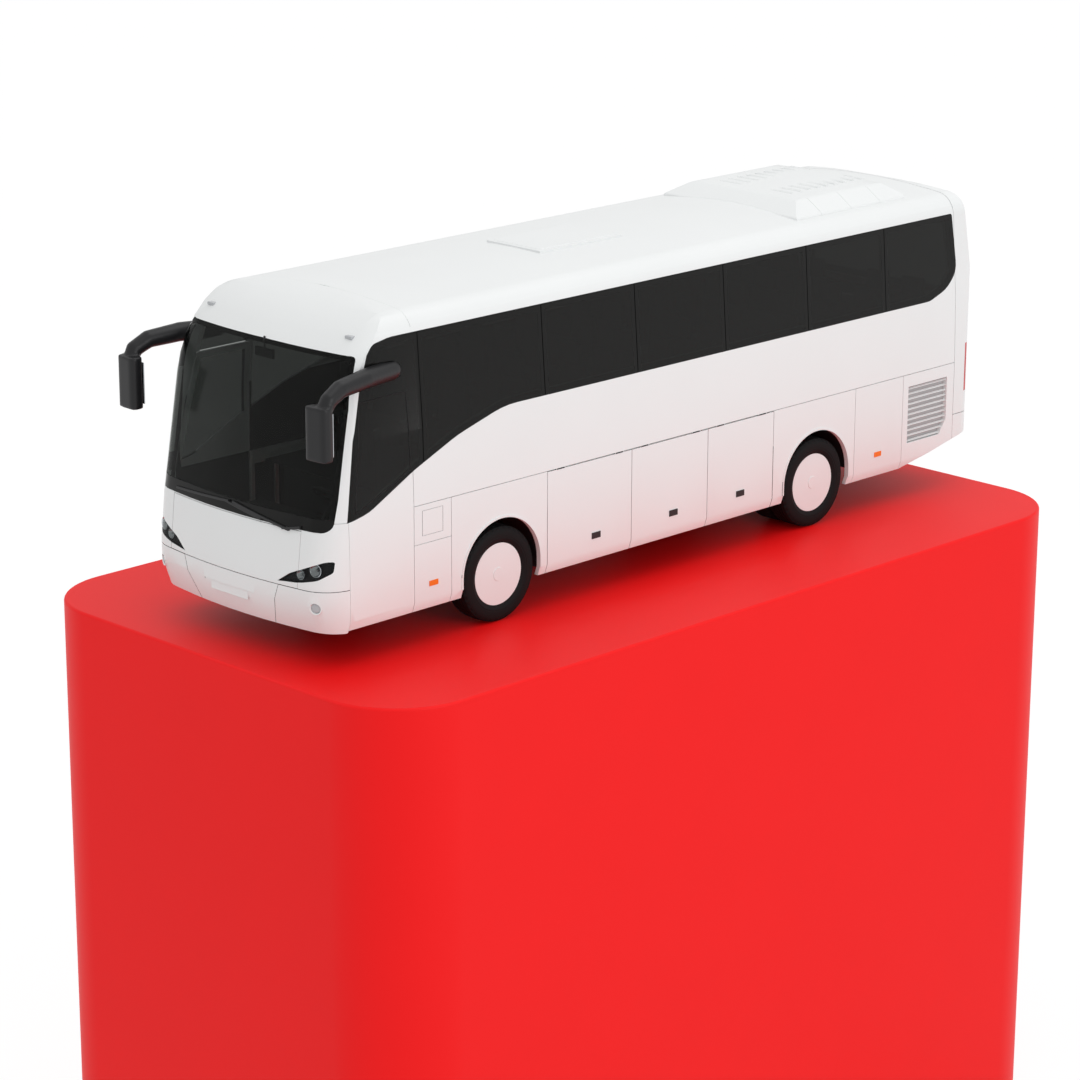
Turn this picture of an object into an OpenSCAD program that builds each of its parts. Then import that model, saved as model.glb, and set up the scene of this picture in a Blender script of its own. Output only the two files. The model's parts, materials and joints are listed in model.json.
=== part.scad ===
// Nine-metre coach standing on a block plinth.
// Row frame: origin at the centre of the plinth's foot, +Z up.
// The coach faces -Y, and +X is the coach's left side.
// Heights on the coach are measured from the plinth's top face.

/* [Body] */
// Width over the lower side panels
body_w = 2540; // [2500:10:2580]
// Nose of the front bumper, ahead of the front axle
nose_reach = 2320; // [2290:5:2350]
// Rear face, behind the front axle
tail_reach = 7180; // [7160:5:7190]
// Crown of the roof above the ground
roof_z = 3250; // [3220:10:3290]
// Lower edge of the skirts
skirt_z = 350; // [330:5:365]
// Thickness of walls, roof and fixed panels
wall = 46; // [42:1:50]
// Radius of the roof's long edges
eave_r = 230; // [180:10:260]
// Radius between windscreen and roof
brow_r = 1050; // [950:25:1100]
// Radius of the front corners in plan
corner_r = 330; // [280:10:340]
// Radius of the rear corners in plan
tail_r = 210; // [160:10:240]

/* [Windows] */
// Lower edge of the side windows
sill_z = 2123; // [2100:1:2150]
// Upper edge of the side windows
head_z = 3002; // [2980:2:3006]
// Thickness of the bonded glass
glass_t = 9; // [6:1:12]
// Joint between two side panes
pane_gap = 10; // [8:1:14]
// Lower edge of the windscreen
screen_z = 1296; // [1285:1:1310]

/* [Lower panels] */
// Joint along the top of the luggage flaps
belt_z = 1375; // [1360:5:1390]
// Joint round a flap
flap_gap = 9; // [8:1:12]
// Thickness of a flap
flap_t = 30; // [24:1:34]
// Joint between two fixed panels
seam = 6; // [4:1:8]

/* [Wheels] */
// Front axle, ahead of the plinth's centre
axle_lead = 2265; // [2255:5:2275]
// Distance between the axles
wheelbase = 4570; // [4550:10:4590]
// Tyre radius
tyre_r = 470; // [460:1:474]
// Tyre width
tyre_w = 262; // [250:2:270]
// Radius of the wheel trim
disc_r = 306; // [298:2:312]
// Outer plane of the tyres, inside the side panels
tyre_inset = 32; // [26:1:40]
// Radius of the wheel arch cut-outs
arch_r = 512; // [506:1:518]
// Height of the arch centre
arch_z = 525; // [518:1:532]

/* [Plinth] */
// Length of the plinth
plinth_l = 9870; // [9860:10:10000]
// Width of the plinth
plinth_w = 5240; // [5100:20:5400]
// Height of the plinth
plinth_h = 6700; // [6600:50:6800]
// Radius of the plinth's upright corners
plinth_r = 850; // [700:25:1000]
// Thickness of the plinth's sides and top
plinth_t = 90; // [70:5:120]

/* [Hidden] */
$fn = 96;
half_w = body_w / 2;
wide = half_w + 130;
deep = half_w - 220;
tyre_out_x = half_w - tyre_inset;
front_y = -axle_lead;
rear_y = front_y + wheelbase;
nose_y = front_y - nose_reach;
tail_y = front_y + tail_reach;
wheel_z = tyre_r + 0.3;
tyre_mid = tyre_out_x - tyre_w / 2;
twin_mid = tyre_mid - tyre_w - 48;
kingpin_x = tyre_mid - 47;
shoulder_z = 1400;
knee_z = 2100;
lean_low = 0.03;
lean_up = 0.078;
crown_r = half_w * 8000 / 1270;
crown_slope = 0.1;
bow_r = 6000 * pow(half_w / 1270, 2);
bow_slope = 190.5 / half_w;
rake = 0.172;
screen_y = nose_y + 50;
brow_y = screen_y + rake * (roof_z - brow_r - 1250) + brow_r * sqrt(1 + rake * rake);
cap_y = front_y - 1936;
dome_y = front_y - 1070;
cab_y = front_y - 1136;
tail_joint = front_y + 6820;
arch_front = [front_y - 660, front_y + 609];
arch_rear = [front_y + 3884, front_y + 5176];
bays = [arch_front[1], front_y + 1782, front_y + 2888, arch_rear[0]];
engine_y = front_y + 5960;
pane_joints = [for (d = [-1000, 600, 1880, 3160, 4420, 5660]) front_y + d];
roof_joint = 3050;
floor_z = 1270;
cab_floor = 880;
step_x = [710 - half_w, 390 - half_w, 90 - half_w];
step_z = [640, 400];
bay_z = 390;
lid_z = [820, 1800];
rail_x = [half_w - 840, half_w - 760];
lid_x = half_w - 410;
scuttle_x = half_w - 370;
screen_in = [80, 70, 72, 72, 95, 135];

// Outlines: each vertex is [u, v, radius]; the corner becomes an arc of that radius.
function unit(v) = v / norm(v);
function corner(a, b, c, r) =
    let (u = unit(a - b), v = unit(c - b), half = acos(max(-1, min(1, u * v))) / 2)
    (r <= 0 || half > 89.6) ? [b] :
    let (m = b + unit(u + v) * r / sin(half), p = b + u * r / tan(half), q = b + v * r / tan(half),
        a0 = atan2(p[1] - m[1], p[0] - m[0]),
        turn = (atan2(q[1] - m[1], q[0] - m[0]) - a0 + 540) % 360 - 180,
        n = max(1, ceil(abs(turn) / (2 * acos(max(0.9, 1 - 1.5 / r))))))
    [for (i = [0:n]) m + r * [cos(a0 + turn * i / n), sin(a0 + turn * i / n)]];
function rounded(v) = let (n = len(v)) [for (i = [0:n - 1]) each corner(
    [v[(i + n - 1) % n][0], v[(i + n - 1) % n][1]], [v[i][0], v[i][1]],
    [v[(i + 1) % n][0], v[(i + 1) % n][1]], v[i][2])];
function mirrored(v) = concat(v,
    [for (i = [len(v) - 1:-1:0]) if (v[i][0] != 0) [-v[i][0], v[i][1], v[i][2]]]);
function on_axle(v) = [for (p = v) len(p) > 2 ? [p[0] + front_y, p[1], p[2]] : [p[0] + front_y, p[1]]];

// Extrusions of an outline seen from the side (y, z), from the front (x, z) and from above (x, y).
module from_side(p, x0, x1) translate([x0, 0, 0]) rotate([90, 0, 90]) linear_extrude(x1 - x0) polygon(p);
module from_front(p, y0, y1) translate([0, y1, 0]) rotate([90, 0, 0]) linear_extrude(y1 - y0) polygon(p);
module from_above(p, z0, z1) translate([0, 0, z0]) linear_extrude(z1 - z0) polygon(p);
module block(x, y, z) translate([x[0], y[0], z[0]]) cube([x[1] - x[0], y[1] - y[0], z[1] - z[0]]);
module rod(r, x0, x1) translate([x0, 0, 0]) rotate([0, 90, 0]) cylinder(r = r, h = x1 - x0);
module coach() translate([0, 0, plinth_h]) children();
module both() { children(); mirror([1, 0, 0]) children(); }
module side_of(s) { if (s > 0) children(); else mirror([1, 0, 0]) children(); }

// Cross-section of the body, inset by o.
function section(o) =
    let (x = half_w - o, k = x - lean_low * (knee_z - shoulder_z),
        zc = roof_z - o + crown_r * (sqrt(1 + crown_slope * crown_slope) - 1),
        ze = (zc - crown_slope * k - crown_slope * lean_up * knee_z) / (1 - crown_slope * lean_up))
    rounded(mirrored([[0, zc, crown_r], [k - lean_up * (ze - knee_z), ze, max(60, eave_r - o)],
        [k, knee_z, 0], [x, shoulder_z, 0], [x, skirt_z + 95, 0], [x - 80, skirt_z - 145, 0]]));
// Nose line in the middle plane, inset by o: [y, z] from the skirt up over the brow.
function nose_line(o) = concat(
    [[nose_y + o + 130, 240], [nose_y + o, 600], [nose_y + o, 800], [screen_y + o * 1.01, 1250]],
    [for (k = [0:8]) let (a = atan(rake) + (90 - atan(rake)) * k / 8)
        [brow_y - (brow_r - o) * cos(a), roof_z - brow_r + (brow_r - o) * sin(a)]]);
// Plan of the nose, inset by o: its two straight sides end behind the front axle.
function nose_plan(o) =
    let (x = half_w - o + 1, v = -(bow_r - o) * (sqrt(1 + bow_slope * bow_slope) - 1))
    rounded([[0, v, bow_r - o], [x, v + x * bow_slope, corner_r - o], [x, 3000, 0],
        [-x, 3000, 0], [-x, v + x * bow_slope, corner_r - o]]);
// The nose is a loft: the same plan at every point of the nose line.
module nose(o) {
    line = concat(nose_line(o), [[brow_y + 600, roof_z - o + 52]]);
    plan = nose_plan(o);
    n = len(plan);
    top = len(line) - 1;
    polyhedron(
        [for (l = line, p = plan) [p[0], p[1] > 2000 ? front_y + 1500 : l[0] + p[1], l[1]]],
        concat([[for (i = [0:n - 1]) i]], [[for (i = [n - 1:-1:0]) top * n + i]],
            [for (k = [0:top - 1], i = [0:n - 1])
                [k * n + i, (k + 1) * n + i, (k + 1) * n + (i + 1) % n, k * n + (i + 1) % n]]));
}
module front_form(o, y0, y1) intersection() {
    from_front(section(o), y0, y1);
    union() {
        intersection() {
            nose(o);
            block([-wide, wide], [-6000, min(y1 + 5, brow_y + 45)], [100, 3600]);
        }
        if (y1 > brow_y + 40) block([-wide, wide], [brow_y + 40, y1 + 5], [100, 3600]);
    }
}
module middle_form(o, y0, y1) from_front(section(o), y0, y1);
// Rear silhouette and plan, inset by o.
function rear_side(o) = rounded([[front_y + 3000, 100, 0], [engine_y, 100, 0], [engine_y, skirt_z, 0],
    [engine_y + 1000, skirt_z + 205, 0], [tail_y - 60 - o, skirt_z + 235, 0], [tail_y - o, 880, 300],
    [tail_y - 62 - o, 2000, 2000], [tail_y - 190 - o, roof_z - o, 184 - o],
    [front_y + 3000, roof_z - o + 1, 0]]);
function rear_plan(o) = let (x = half_w - o + 1) rounded([[-x, front_y + 3000, 0], [x, front_y + 3000, 0],
    [x, tail_y - 44 - o, tail_r - o], [half_w - 380, tail_y + 1 - o, 0], [380 - half_w, tail_y + 1 - o, 0],
    [-x, tail_y - 44 - o, tail_r - o]]);
module rear_form(o, y0) intersection() {
    from_front(section(o), y0, tail_y + 100);
    from_side(rear_side(o), -wide, wide);
    from_above(rear_plan(o), 60, 3600);
}
module inside_front() intersection() { children(); front_form(wall, -6000, front_y); }

// Outlines of the openings.
function band() = rounded(on_axle([
    [-1948, 1380, 0], [-1690, 1434, 500], [-1120, 1722, 900], [-560, 1952, 1500],
    [60, sill_z, 1200], [6390, sill_z - 12, 300], [6680, 2205, 400], [6850, 2370, 220], [6790, head_z - 8, 30],
    [-1340, head_z, 400], [-1555, 2968, 120], [-1630, 2880, 40], [-1746, 2574, 0], [-1855, 2130, 0]]));
function band_inner() = rounded(on_axle([
    [-1870, 1470, 0], [-1690, 1500, 300], [-1120, 1782, 700], [-560, 2012, 1300],
    [60, sill_z + 60, 1000], [6330, sill_z + 50, 240], [6600, 2250, 100], [6760, 2400, 40],
    [6720, head_z - 60, 40],
    [-1320, head_z - 60, 400], [-1480, 2885, 80], [-1530, 2820, 40], [-1610, 2574, 0], [-1730, 2130, 0]]));
function screen(i) = let (x = [for (d = screen_in) half_w - d - i]) rounded(mirrored([[0, screen_z + i, 0],
    [x[0], screen_z + i, 90], [x[1], 1600, 0], [x[2], 2050, 0], [x[3], 2410, 0], [x[4], 2700, 0],
    [x[5], 2874 - i, 50], [0, 2882 - i, 0]]));
// Headlamp, as [inset from the side, height, radius]; k shrinks it towards its middle.
lamp_outline = [[603, 787, 0], [465, 881, 160], [238, 978, 600], [110, 1032, 90], [54, 1034, 14],
    [58, 930, 40], [158, 856, 120], [339, 812, 300]];
function lamp(k) = rounded([for (p = lamp_outline)
    [half_w - 270 + (270 - p[0]) * k, 925 + (p[1] - 925) * k, p[2] * k]]);
function cap_side() = on_axle([[-3000, 752], [-1936, 752], [-1936, 1380], [-1926, 1450], [-1850, 1775],
    [-1755, 2222], [-1670, 2574], [-1586, 2831], [-1540, 2910], [-1330, 2965], [-1070, 2968], [-1070, 3700],
    [-3000, 3700]]);
// The wall's side of the same joint: it laps the window flange and leaves a seam below and above it.
function wall_side(s) = concat(
    [[tail_joint - s, belt_z], [tail_joint - s, roof_joint], [dome_y, roof_joint]],
    [for (p = on_axle([
        [-1070, 2968], [-1330, 2965], [-1540, 2910], [-1586, 2831], [-1670, 2574], [-1755, 2222],
        [-1850, 1775], [-1926, 1450], [-1936, 1380]])) [p[0] + s, p[1] - (p[1] > 2900 ? s : 0)]],
    [[cap_y + s, belt_z]]);
door_y = [cap_y + 12, front_y - 1000];
door_z = [392, 2500];
function door_side(s) = [[door_y[0] + s, door_z[0] + s], [door_y[1] - s, door_z[0] + s],
    [door_y[1] - s, door_z[1] - s], [front_y - 1918 + (door_z[1] - 1420) * 0.235 + s, door_z[1] - s],
    [door_y[0] + s, 1400]];

// Louvred panel on the engine side, its lower rear corner cut off; s moves its edges inwards.
function grille(s) = on_axle([[6050 + s, 620 + s], [6590 - s * 0.5, 620 + s],
    [6700 - s, 770 + s * 0.5], [6700 - s, 1240 - s],
    [6050 + s, 1240 - s]]);

module plinth() color("red") difference() {
    from_above(rounded([[-plinth_w / 2, -plinth_l / 2, plinth_r], [plinth_w / 2, -plinth_l / 2, plinth_r],
        [plinth_w / 2, plinth_l / 2, plinth_r], [-plinth_w / 2, plinth_l / 2, plinth_r]]), 0, plinth_h);
    from_above(rounded([for (p = [[-1, -1], [1, -1], [1, 1], [-1, 1]])
        [p[0] * (plinth_w / 2 - plinth_t), p[1] * (plinth_l / 2 - plinth_t), plinth_r - plinth_t]]),
        -10, plinth_h - plinth_t);
}

// Box rails under both ends, cross beams, and the plates between the luggage bays.
module chassis_frame() color("dimgray") coach() {
    both() {
        inside_front() block(rail_x, [nose_y + 20, bays[0]], [570, 700]);
        block(rail_x, [bays[3], tail_y - 330], [600, 730]);
    }
    inside_front() block([170 - half_w, half_w - 170], [front_y - 2060, front_y - 1990], [480, 570]);
    block([10 - rail_x[1], rail_x[1] - 10], [front_y - 900, front_y - 840], [700, 780]);
    block([-rail_x[1] - 20, rail_x[1] + 20], [tail_y - 330, tail_y - 270], [600, 730]);
    for (i = [0:3]) difference() {
        block([-half_w + wall + 22, half_w - wall - 22], [bays[i] - 12, bays[i] + 12], [bay_z + 12, floor_z]);
        if (i == 1 || i == 2) block([-rail_x[1], rail_x[1]], [bays[i] - 20, bays[i] + 20], [562, 738]);
    }
}
// Posts and rails behind the skins, which carry the fixed panels and close the sides.
module side_frame() color("gray") coach() for (s = [1, -1]) side_of(s) {
    start = s > 0 ? cab_y : door_y[1] + 12;
    x = [half_w - wall - 22, half_w - wall];
    posts = concat([s > 0 ? cab_y : door_y[1] + 32, arch_front[0]], bays,
        [arch_rear[1], engine_y, tail_joint]);
    block(x, [start, tail_joint + 10], [belt_z - 30, shoulder_z - 1]);
    if (s > 0) intersection() {
        block(x, [cap_y - 10, cab_y + 30], [belt_z - 30, shoulder_z - 1]);
        front_form(wall + 0.3, -6000, front_y);
    }
    for (y = posts) block(x, [y - 20, y + 20], [skirt_z + (y > engine_y ? 270 : 105), belt_z - 30]);
    block([x[0] - 8, x[0]], [start + 10, tail_joint - 40], [belt_z - 105, belt_z - 22]);
}
module passenger_floor() color("slategray") coach()
    block([-half_w + wall + 30, half_w - wall - 30], [front_y - 820, tail_y - 330], [floor_z, floor_z + 24]);
// Cab floor, the riser behind it and the two steps inside the door.
module cab_floor_steps() color("slategray") coach() {
    block([370 - half_w, half_w - wall - 30], [front_y - 840, front_y - 820], [cab_floor, floor_z]);
    y = [front_y - 1880, front_y - 1010];
    inside_front()
        block([step_x[0], half_w - wall - 30], [nose_y, front_y - 840], [cab_floor, cab_floor + 24]);
    for (i = [0, 1]) block([step_x[i + 1], step_x[i]], y, [step_z[i], step_z[i] + 20]);
    block([step_x[0] - 20, step_x[0]], y, [step_z[0] + 20, cab_floor]);
    block([step_x[1] - 20, step_x[1]], y, [step_z[1] + 20, step_z[0]]);
}
module luggage_floor() color("slategray") coach()
    block([-half_w + wall + 24, half_w - wall - 24], [bays[0] - 12, bays[3] + 12], [bay_z, bay_z + 12]);
module wheel_housings() color("black") coach() both() {
    for (w = [[front_y, half_w - 625], [rear_y, half_w - 670]]) difference() {
        translate([0, w[0], arch_z]) rod(arch_r + 24, w[1], half_w - wall);
        translate([0, w[0], arch_z]) rod(arch_r + 12, w[1] + 12, half_w);
        block([0, wide], [w[0] - 700, w[0] + 700], [-200, arch_z]);
        block([0, w[1] + 40], [w[0] - 120, w[0] + 120], [0, arch_z + 60]);
    }
}

// A hinge seen along its pin: the fixed half holds the pin, the moving half turns on it. Local axis Z.
module hinge_pin(l, reach) {
    cylinder(r = 3, h = l);
    for (z = [0, l - 8]) translate([0, 0, z]) block([-3, 3], [0, reach], [0, 8]);
}
module hinge_eye(l, reach) translate([0, 0, 9]) difference() {
    union() {
        cylinder(r = 5.5, h = l - 18);
        block([-5, 5], [-reach, 0], [0, l - 18]);
    }
    translate([0, 0, -1]) cylinder(r = 3.3, h = l);
}
flap_pin = [half_w - 2, belt_z - 3];
lid_pin = [tail_y - 53, lid_z[1] + 6];
door_pin = [half_w - 6, door_y[0] - 6];
module on_flap_pins(i) for (y = [bays[i] + 120, bays[i + 1] - 240])
    translate([flap_pin[0], y, flap_pin[1]]) rotate([-90, 0, 0]) mirror([0, 1, 0]) children();
module on_lid_pins() for (x = [160 - lid_x, lid_x - 280])
    translate([x, lid_pin[0], lid_pin[1]]) rotate([0, 90, 0]) rotate([0, 0, 90]) children();
module on_door_pins(zs) for (z = zs)
    translate([-door_pin[0], door_pin[1], z]) rotate([0, 0, 180]) children();

// Front end.
module front_cap() color("white") coach() difference() {
    intersection() {
        front_form(0, -6000, dome_y + 1);
        from_side(cap_side(), -wide, wide);
    }
    front_form(wall, -5900, dome_y + 10);
    from_front(screen(42), -6000, front_y - 1250);
    difference() {
        from_front(screen(0), -6000, front_y - 1250);
        front_form(glass_t, -5900, front_y - 1200);
    }
    both() {
        from_side(band_inner(), deep, wide);
        difference() {
            from_side(band(), deep, wide);
            front_form(glass_t, -5900, front_y);
        }
        from_front(lamp(1), -6000, front_y - 1900);
    }
    block([-scuttle_x - 5, scuttle_x + 5], [-6000, front_y - 1900], [700, screen_z - 8]);
    mirror([1, 0, 0]) from_side(door_side(-flap_gap), deep, wide);
}
module scuttle_panel() color("white") coach() difference() {
    intersection() {
        front_form(0, -6000, front_y - 1800);
        difference() {
            block([-scuttle_x, scuttle_x], [-6000, front_y - 1900], [752, screen_z - 13]);
            both() from_front(lamp(1.02), -6000, front_y - 1850);
        }
    }
    front_form(wall, -5900, front_y - 1700);
}
module front_bumper() color("white") coach() difference() {
    intersection() {
        front_form(0, -6000, cap_y);
        block([-wide, wide], [-6000, cap_y], [skirt_z - 20, 746]);
    }
    front_form(wall, -5900, cap_y + 100);
    block([-350, 350], [-6000, nose_y + 18], [505, 602]);
    both() translate([half_w - 185, nose_y, 590]) rotate([-90, 0, 0]) cylinder(r = 48, h = 600);
}
module windscreen() color("black") coach() difference() {
    intersection() {
        front_form(0, -6000, front_y - 1300);
        from_front(screen(3), -6000, front_y - 1350);
    }
    front_form(glass_t, -5900, front_y - 1200);
}
module headlamps() color("dimgray") coach() both() difference() {
    intersection() {
        front_form(2, -6000, front_y - 1850);
        from_front(lamp(0.994), -6000, front_y - 1900);
    }
    front_form(wall - 2, -5900, front_y - 1700);
}
module wipers() color("black") coach()
    for (w = [[-850, 1352, -36, 1395, 420, 1316], [20, 1398, 770, 1280, 900, 1318]]) difference() {
        intersection() {
            front_form(-24, -6000, front_y - 1850);
            union() {
                from_front([[w[0], w[1] - 11], [w[2], w[3] - 11], [w[2], w[3] + 11], [w[0], w[1] + 11]],
                    -6000, front_y - 1900);
                from_front(
                    [[w[2] - 80, w[3] - 8], [w[4], w[5] - 12], [w[4], w[5] + 16], [w[2] - 80, w[3] + 8]],
                    -6000, front_y - 1900);
            }
        }
        front_form(0, -5900, front_y - 1700);
    }

// Roof and side walls.
module roof() color("white") coach() difference() {
    middle_form(0, dome_y + seam / 2, tail_joint - seam / 2);
    middle_form(wall, dome_y - 10, tail_joint + 10);
    block([-wide, wide], [-6000, 6000], [0, roof_joint]);
}
module side_wall(s) color("white") coach() difference() {
    intersection() {
        front_form(0, -6000, tail_joint + 5);
        side_of(s) from_side(wall_side(seam / 2), deep, wide);
        block([-wide, wide], [-6000, 6000], [belt_z + seam / 2, roof_joint]);
    }
    front_form(wall, -5900, tail_joint + 10);
    side_of(s) {
        difference() {
            from_side(band_inner(), deep, wide);
            for (y = pane_joints) block([deep - 100, wide], [y - 35, y + 35], [0, 4000]);
        }
        difference() {
            from_side(band(), deep, wide);
            front_form(glass_t, -5900, tail_joint + 20);
        }
    }
    if (s < 0) mirror([1, 0, 0]) from_side(door_side(-flap_gap), deep, wide);
    else block([deep, wide], [-6000, cab_y + seam / 2], [0, 2000]);
}
module wall_hinges(s) color("gray") coach() side_of(s)
    for (i = [0:2]) on_flap_pins(i) hinge_pin(120, 6);
module side_glass(s) color("black") coach() difference() {
    intersection() {
        front_form(0, -6000, tail_joint + 20);
        side_of(s) difference() {
            from_side(band(), deep, wide);
            for (y = pane_joints) block([deep - 100, wide], [y - pane_gap / 2, y + pane_gap / 2], [0, 4000]);
            if (s < 0) from_side(door_side(-flap_gap), deep, wide);
        }
    }
    front_form(glass_t, -5900, tail_joint + 60);
}
// Fixed lower panels: filler flap, wheel arches, engine side and grille panel.
module arch(y, r) {
    translate([0, y, arch_z]) rod(r, deep, wide);
    block([deep, wide], [y - r, y + r], [0, arch_z]);
}
// One panel from the skirt up to the driver's window.
module cab_panel() difference() {
    intersection() {
        front_form(0, -6000, front_y);
        from_side(concat([[cap_y + seam / 2, skirt_z], [cab_y - seam / 2, skirt_z], [cab_y - seam / 2, 2000]],
            [for (p = on_axle([[-1802, 2000], [-1850, 1775], [-1926, 1450], [-1936, 1380]]))
                [p[0] + seam / 2, p[1]]]), deep, wide);
    }
    front_form(wall, -5900, front_y + 10);
    from_side(band_inner(), deep, wide);
    difference() {
        from_side(band(), deep, wide);
        front_form(glass_t, -5900, front_y + 10);
    }
}
module skirt_panels(s) color("white") coach() {
    list = [[cab_y, arch_front[0]], arch_front, arch_rear, [arch_rear[1], engine_y], [engine_y, tail_joint]];
    if (s > 0) cab_panel();
    for (p = list) difference() {
        intersection() {
            if (p[0] < front_y) front_form(0, -5000, front_y + 1000);
            else rear_form(0, front_y + 3500);
            side_of(s) block([deep, wide], [p[0] + seam / 2, p[1] - seam / 2], [skirt_z, belt_z - seam / 2]);
        }
        middle_form(wall, -5900, 6000);
        if (p[0] < front_y) front_form(wall, -5900, front_y + 1100);
        side_of(s) {
            arch(front_y, arch_r);
            arch(rear_y, arch_r);
            from_side(grille(0), deep, wide);
        }
        if (s < 0) mirror([1, 0, 0]) from_side(door_side(-flap_gap), deep, wide);
    }
    side_of(s) for (y = [front_y, rear_y]) difference() {
        intersection() {
            arch(y, arch_r + 20);
            block([half_w - 3, half_w + 7], [y - 600, y + 600], [skirt_z + 90, 1200]);
        }
        arch(y, arch_r);
    }
}
module engine_grilles() color("silver") coach() both() {
    intersection() {
        for (i = [0:10]) translate([half_w - 26, 0, 640 + i * 57]) rotate([0, 24, 0])
            block([-14, 14], [front_y + 6050, front_y + 6700], [-3, 3]);
        from_side(grille(0), deep, wide);
    }
    from_side(grille(-10), half_w - wall - 8, half_w - wall);
}
module luggage_flap(s, i) color("white") coach() side_of(s) {
    difference() {
        intersection() {
            middle_form(0, bays[i] + flap_gap / 2, bays[i + 1] - flap_gap / 2);
            block([deep, wide], [-6000, 6000], [skirt_z, belt_z - flap_gap]);
        }
        middle_form(flap_t, -6000, 6000);
    }
    block([half_w - 3, half_w + 7], [bays[i + 1] - 560, bays[i + 1] - 440], [570, 632]);
    on_flap_pins(i) hinge_eye(120, 6);
}

// Rear end.
module rear_cap() color("white") coach() difference() {
    intersection() {
        rear_form(0, tail_joint + seam / 2);
        block([-wide, wide], [0, 6000], [lid_z[0] - 20, 3600]);
    }
    rear_form(wall, front_y + 6000);
    from_front(rounded(mirrored([[half_w - 290, 2030, 90], [half_w - 370, 2880, 90]])), tail_joint, 6000);
    block([-lid_x - flap_gap, lid_x + flap_gap], [tail_y - 400, 6000], [lid_z[0] - 30, lid_z[1] + 12]);
    both() block([half_w - 150, wide], [front_y + 7000, 6000], [1030, 1560]);
    both() difference() {
        from_side(band(), deep, wide);
        rear_form(glass_t, front_y + 6000);
    }
    both() from_side(band_inner(), deep, wide);
}
module rear_bumper() color("white") coach() difference() {
    intersection() {
        rear_form(0, tail_joint + seam / 2);
        block([-wide, wide], [0, 6000], [0, lid_z[0] - 26]);
    }
    rear_form(wall, front_y + 6000);
    translate([-620, tail_y - 200, 640]) rotate([-90, 0, 0]) cylinder(r = 66, h = 400);
}
module rear_window() color("black") coach() difference() {
    intersection() {
        rear_form(3, front_y + 6900);
        from_front(rounded(mirrored([[half_w - 290, 2030, 90], [half_w - 370, 2880, 90]])), tail_joint, 6000);
    }
    rear_form(3 + glass_t, front_y + 6000);
}
module engine_lid() color("white") coach() difference() {
    intersection() {
        rear_form(0, front_y + 6900);
        block([-lid_x, lid_x], [0, 6000], [lid_z[0], lid_z[1]]);
    }
    rear_form(flap_t, front_y + 6000);
}
module tail_lamps() color("red") coach() both() difference() {
    intersection() {
        rear_form(1, front_y + 6900);
        block([half_w - 149.7, wide], [front_y + 7000.3, 6000], [1030.3, 1559.7]);
    }
    rear_form(wall, front_y + 6000);
}

// Passenger door, hung at its front edge on the right-hand side.
module passenger_door() color("white") coach() difference() {
    intersection() {
        front_form(0, -6000, front_y);
        mirror([1, 0, 0]) from_side(door_side(0), deep, wide);
    }
    front_form(wall, -5900, front_y + 10);
    mirror([1, 0, 0]) {
        intersection() { from_side(band_inner(), deep, wide); from_side(door_side(60), deep, wide); }
        difference() { from_side(band(), deep, wide); front_form(glass_t, -5900, front_y + 10); }
    }
}
module door_glass() color("black") coach() difference() {
    intersection() {
        front_form(0, -6000, front_y);
        mirror([1, 0, 0]) intersection() {
            from_side(door_side(0), deep, wide);
            from_side(band(), deep, wide);
        }
    }
    front_form(glass_t, -5900, front_y + 10);
}

// Fittings.
// Each arm is a chain of cones, as [inset from the side, y, height, radius], ending in the mirror's shell.
mirror_arm = [[95, -1330, 2690, 98], [-25, -1760, 2702, 92], [-78, -2100, 2678, 84], [-98, -2255, 2605, 78],
    [-88, -2325, 2480, 74]];
mirror_plan = [[75, -2420, 52], [-195, -2395, 50], [-195, -2265, 52], [60, -2270, 54]];
module mirrors() color("dimgray") coach() both() {
    $fn = 36;
    joints = [for (p = mirror_arm) [half_w - p[0], front_y + p[1], p[2]]];
    difference() {
        union() {
            for (i = [0:3]) translate(joints[i]) let (d = joints[i + 1] - joints[i])
                rotate([0, acos(d[2] / norm(d)), atan2(d[1], d[0])])
                    cylinder(r1 = mirror_arm[i][3], r2 = mirror_arm[i + 1][3], h = norm(d));
            for (i = [0:4]) translate(joints[i]) sphere(r = mirror_arm[i][3] + 0.7);
            from_above(rounded([for (p = mirror_plan) [half_w - p[0], p[1] + front_y, p[2]]]), 2060, 2560);
        }
        front_form(0, -6000, front_y);
    }
}
module side_markers() color("orange") coach() both()
    for (y = [-950, 5505]) block([half_w, half_w + 6], [front_y + y, front_y + y + 114], [569, 622]);
module roof_air_unit() color("white") coach() intersection() {
    from_side(rounded(on_axle([[4560, 3120, 0], [4560, 3222, 30], [4790, 3360, 120], [6090, 3376, 160],
        [6290, 3244, 40], [6290, 3120, 0]])), -wide, wide);
    from_front(rounded(mirrored([[0, 3384, 0], [half_w - 545, 3352, 130], [half_w - 335, 3216, 40],
        [half_w - 335, 3120, 0]])), front_y + 4265, front_y + 6665);
    difference() {
        block([-wide, wide], [front_y + 4265, front_y + 6465], [3000, 3600]);
        middle_form(0, front_y + 4165, front_y + 6565);
    }
}
module dashboard() color("black") coach() {
    inside_front() block([-300, half_w - 140], [nose_y, front_y - 1640], [1000, 1240]);
    inside_front() block([140 - half_w, half_w - 140], [nose_y, front_y - 1990], [905, 1000]);
    translate([half_w - 630, front_y - 1560, 1400]) rotate([-38, 0, 0]) difference() {
        cylinder(r = 225, h = 28);
        translate([0, 0, -1]) cylinder(r = 195, h = 30);
    }
    translate([half_w - 630, front_y - 1560, 1400]) rotate([-38, 0, 0]) {
        block([-200, 200], [-16, 16], [4, 24]);
        translate([0, 0, -300]) cylinder(r = 26, h = 304);
    }
}
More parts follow.
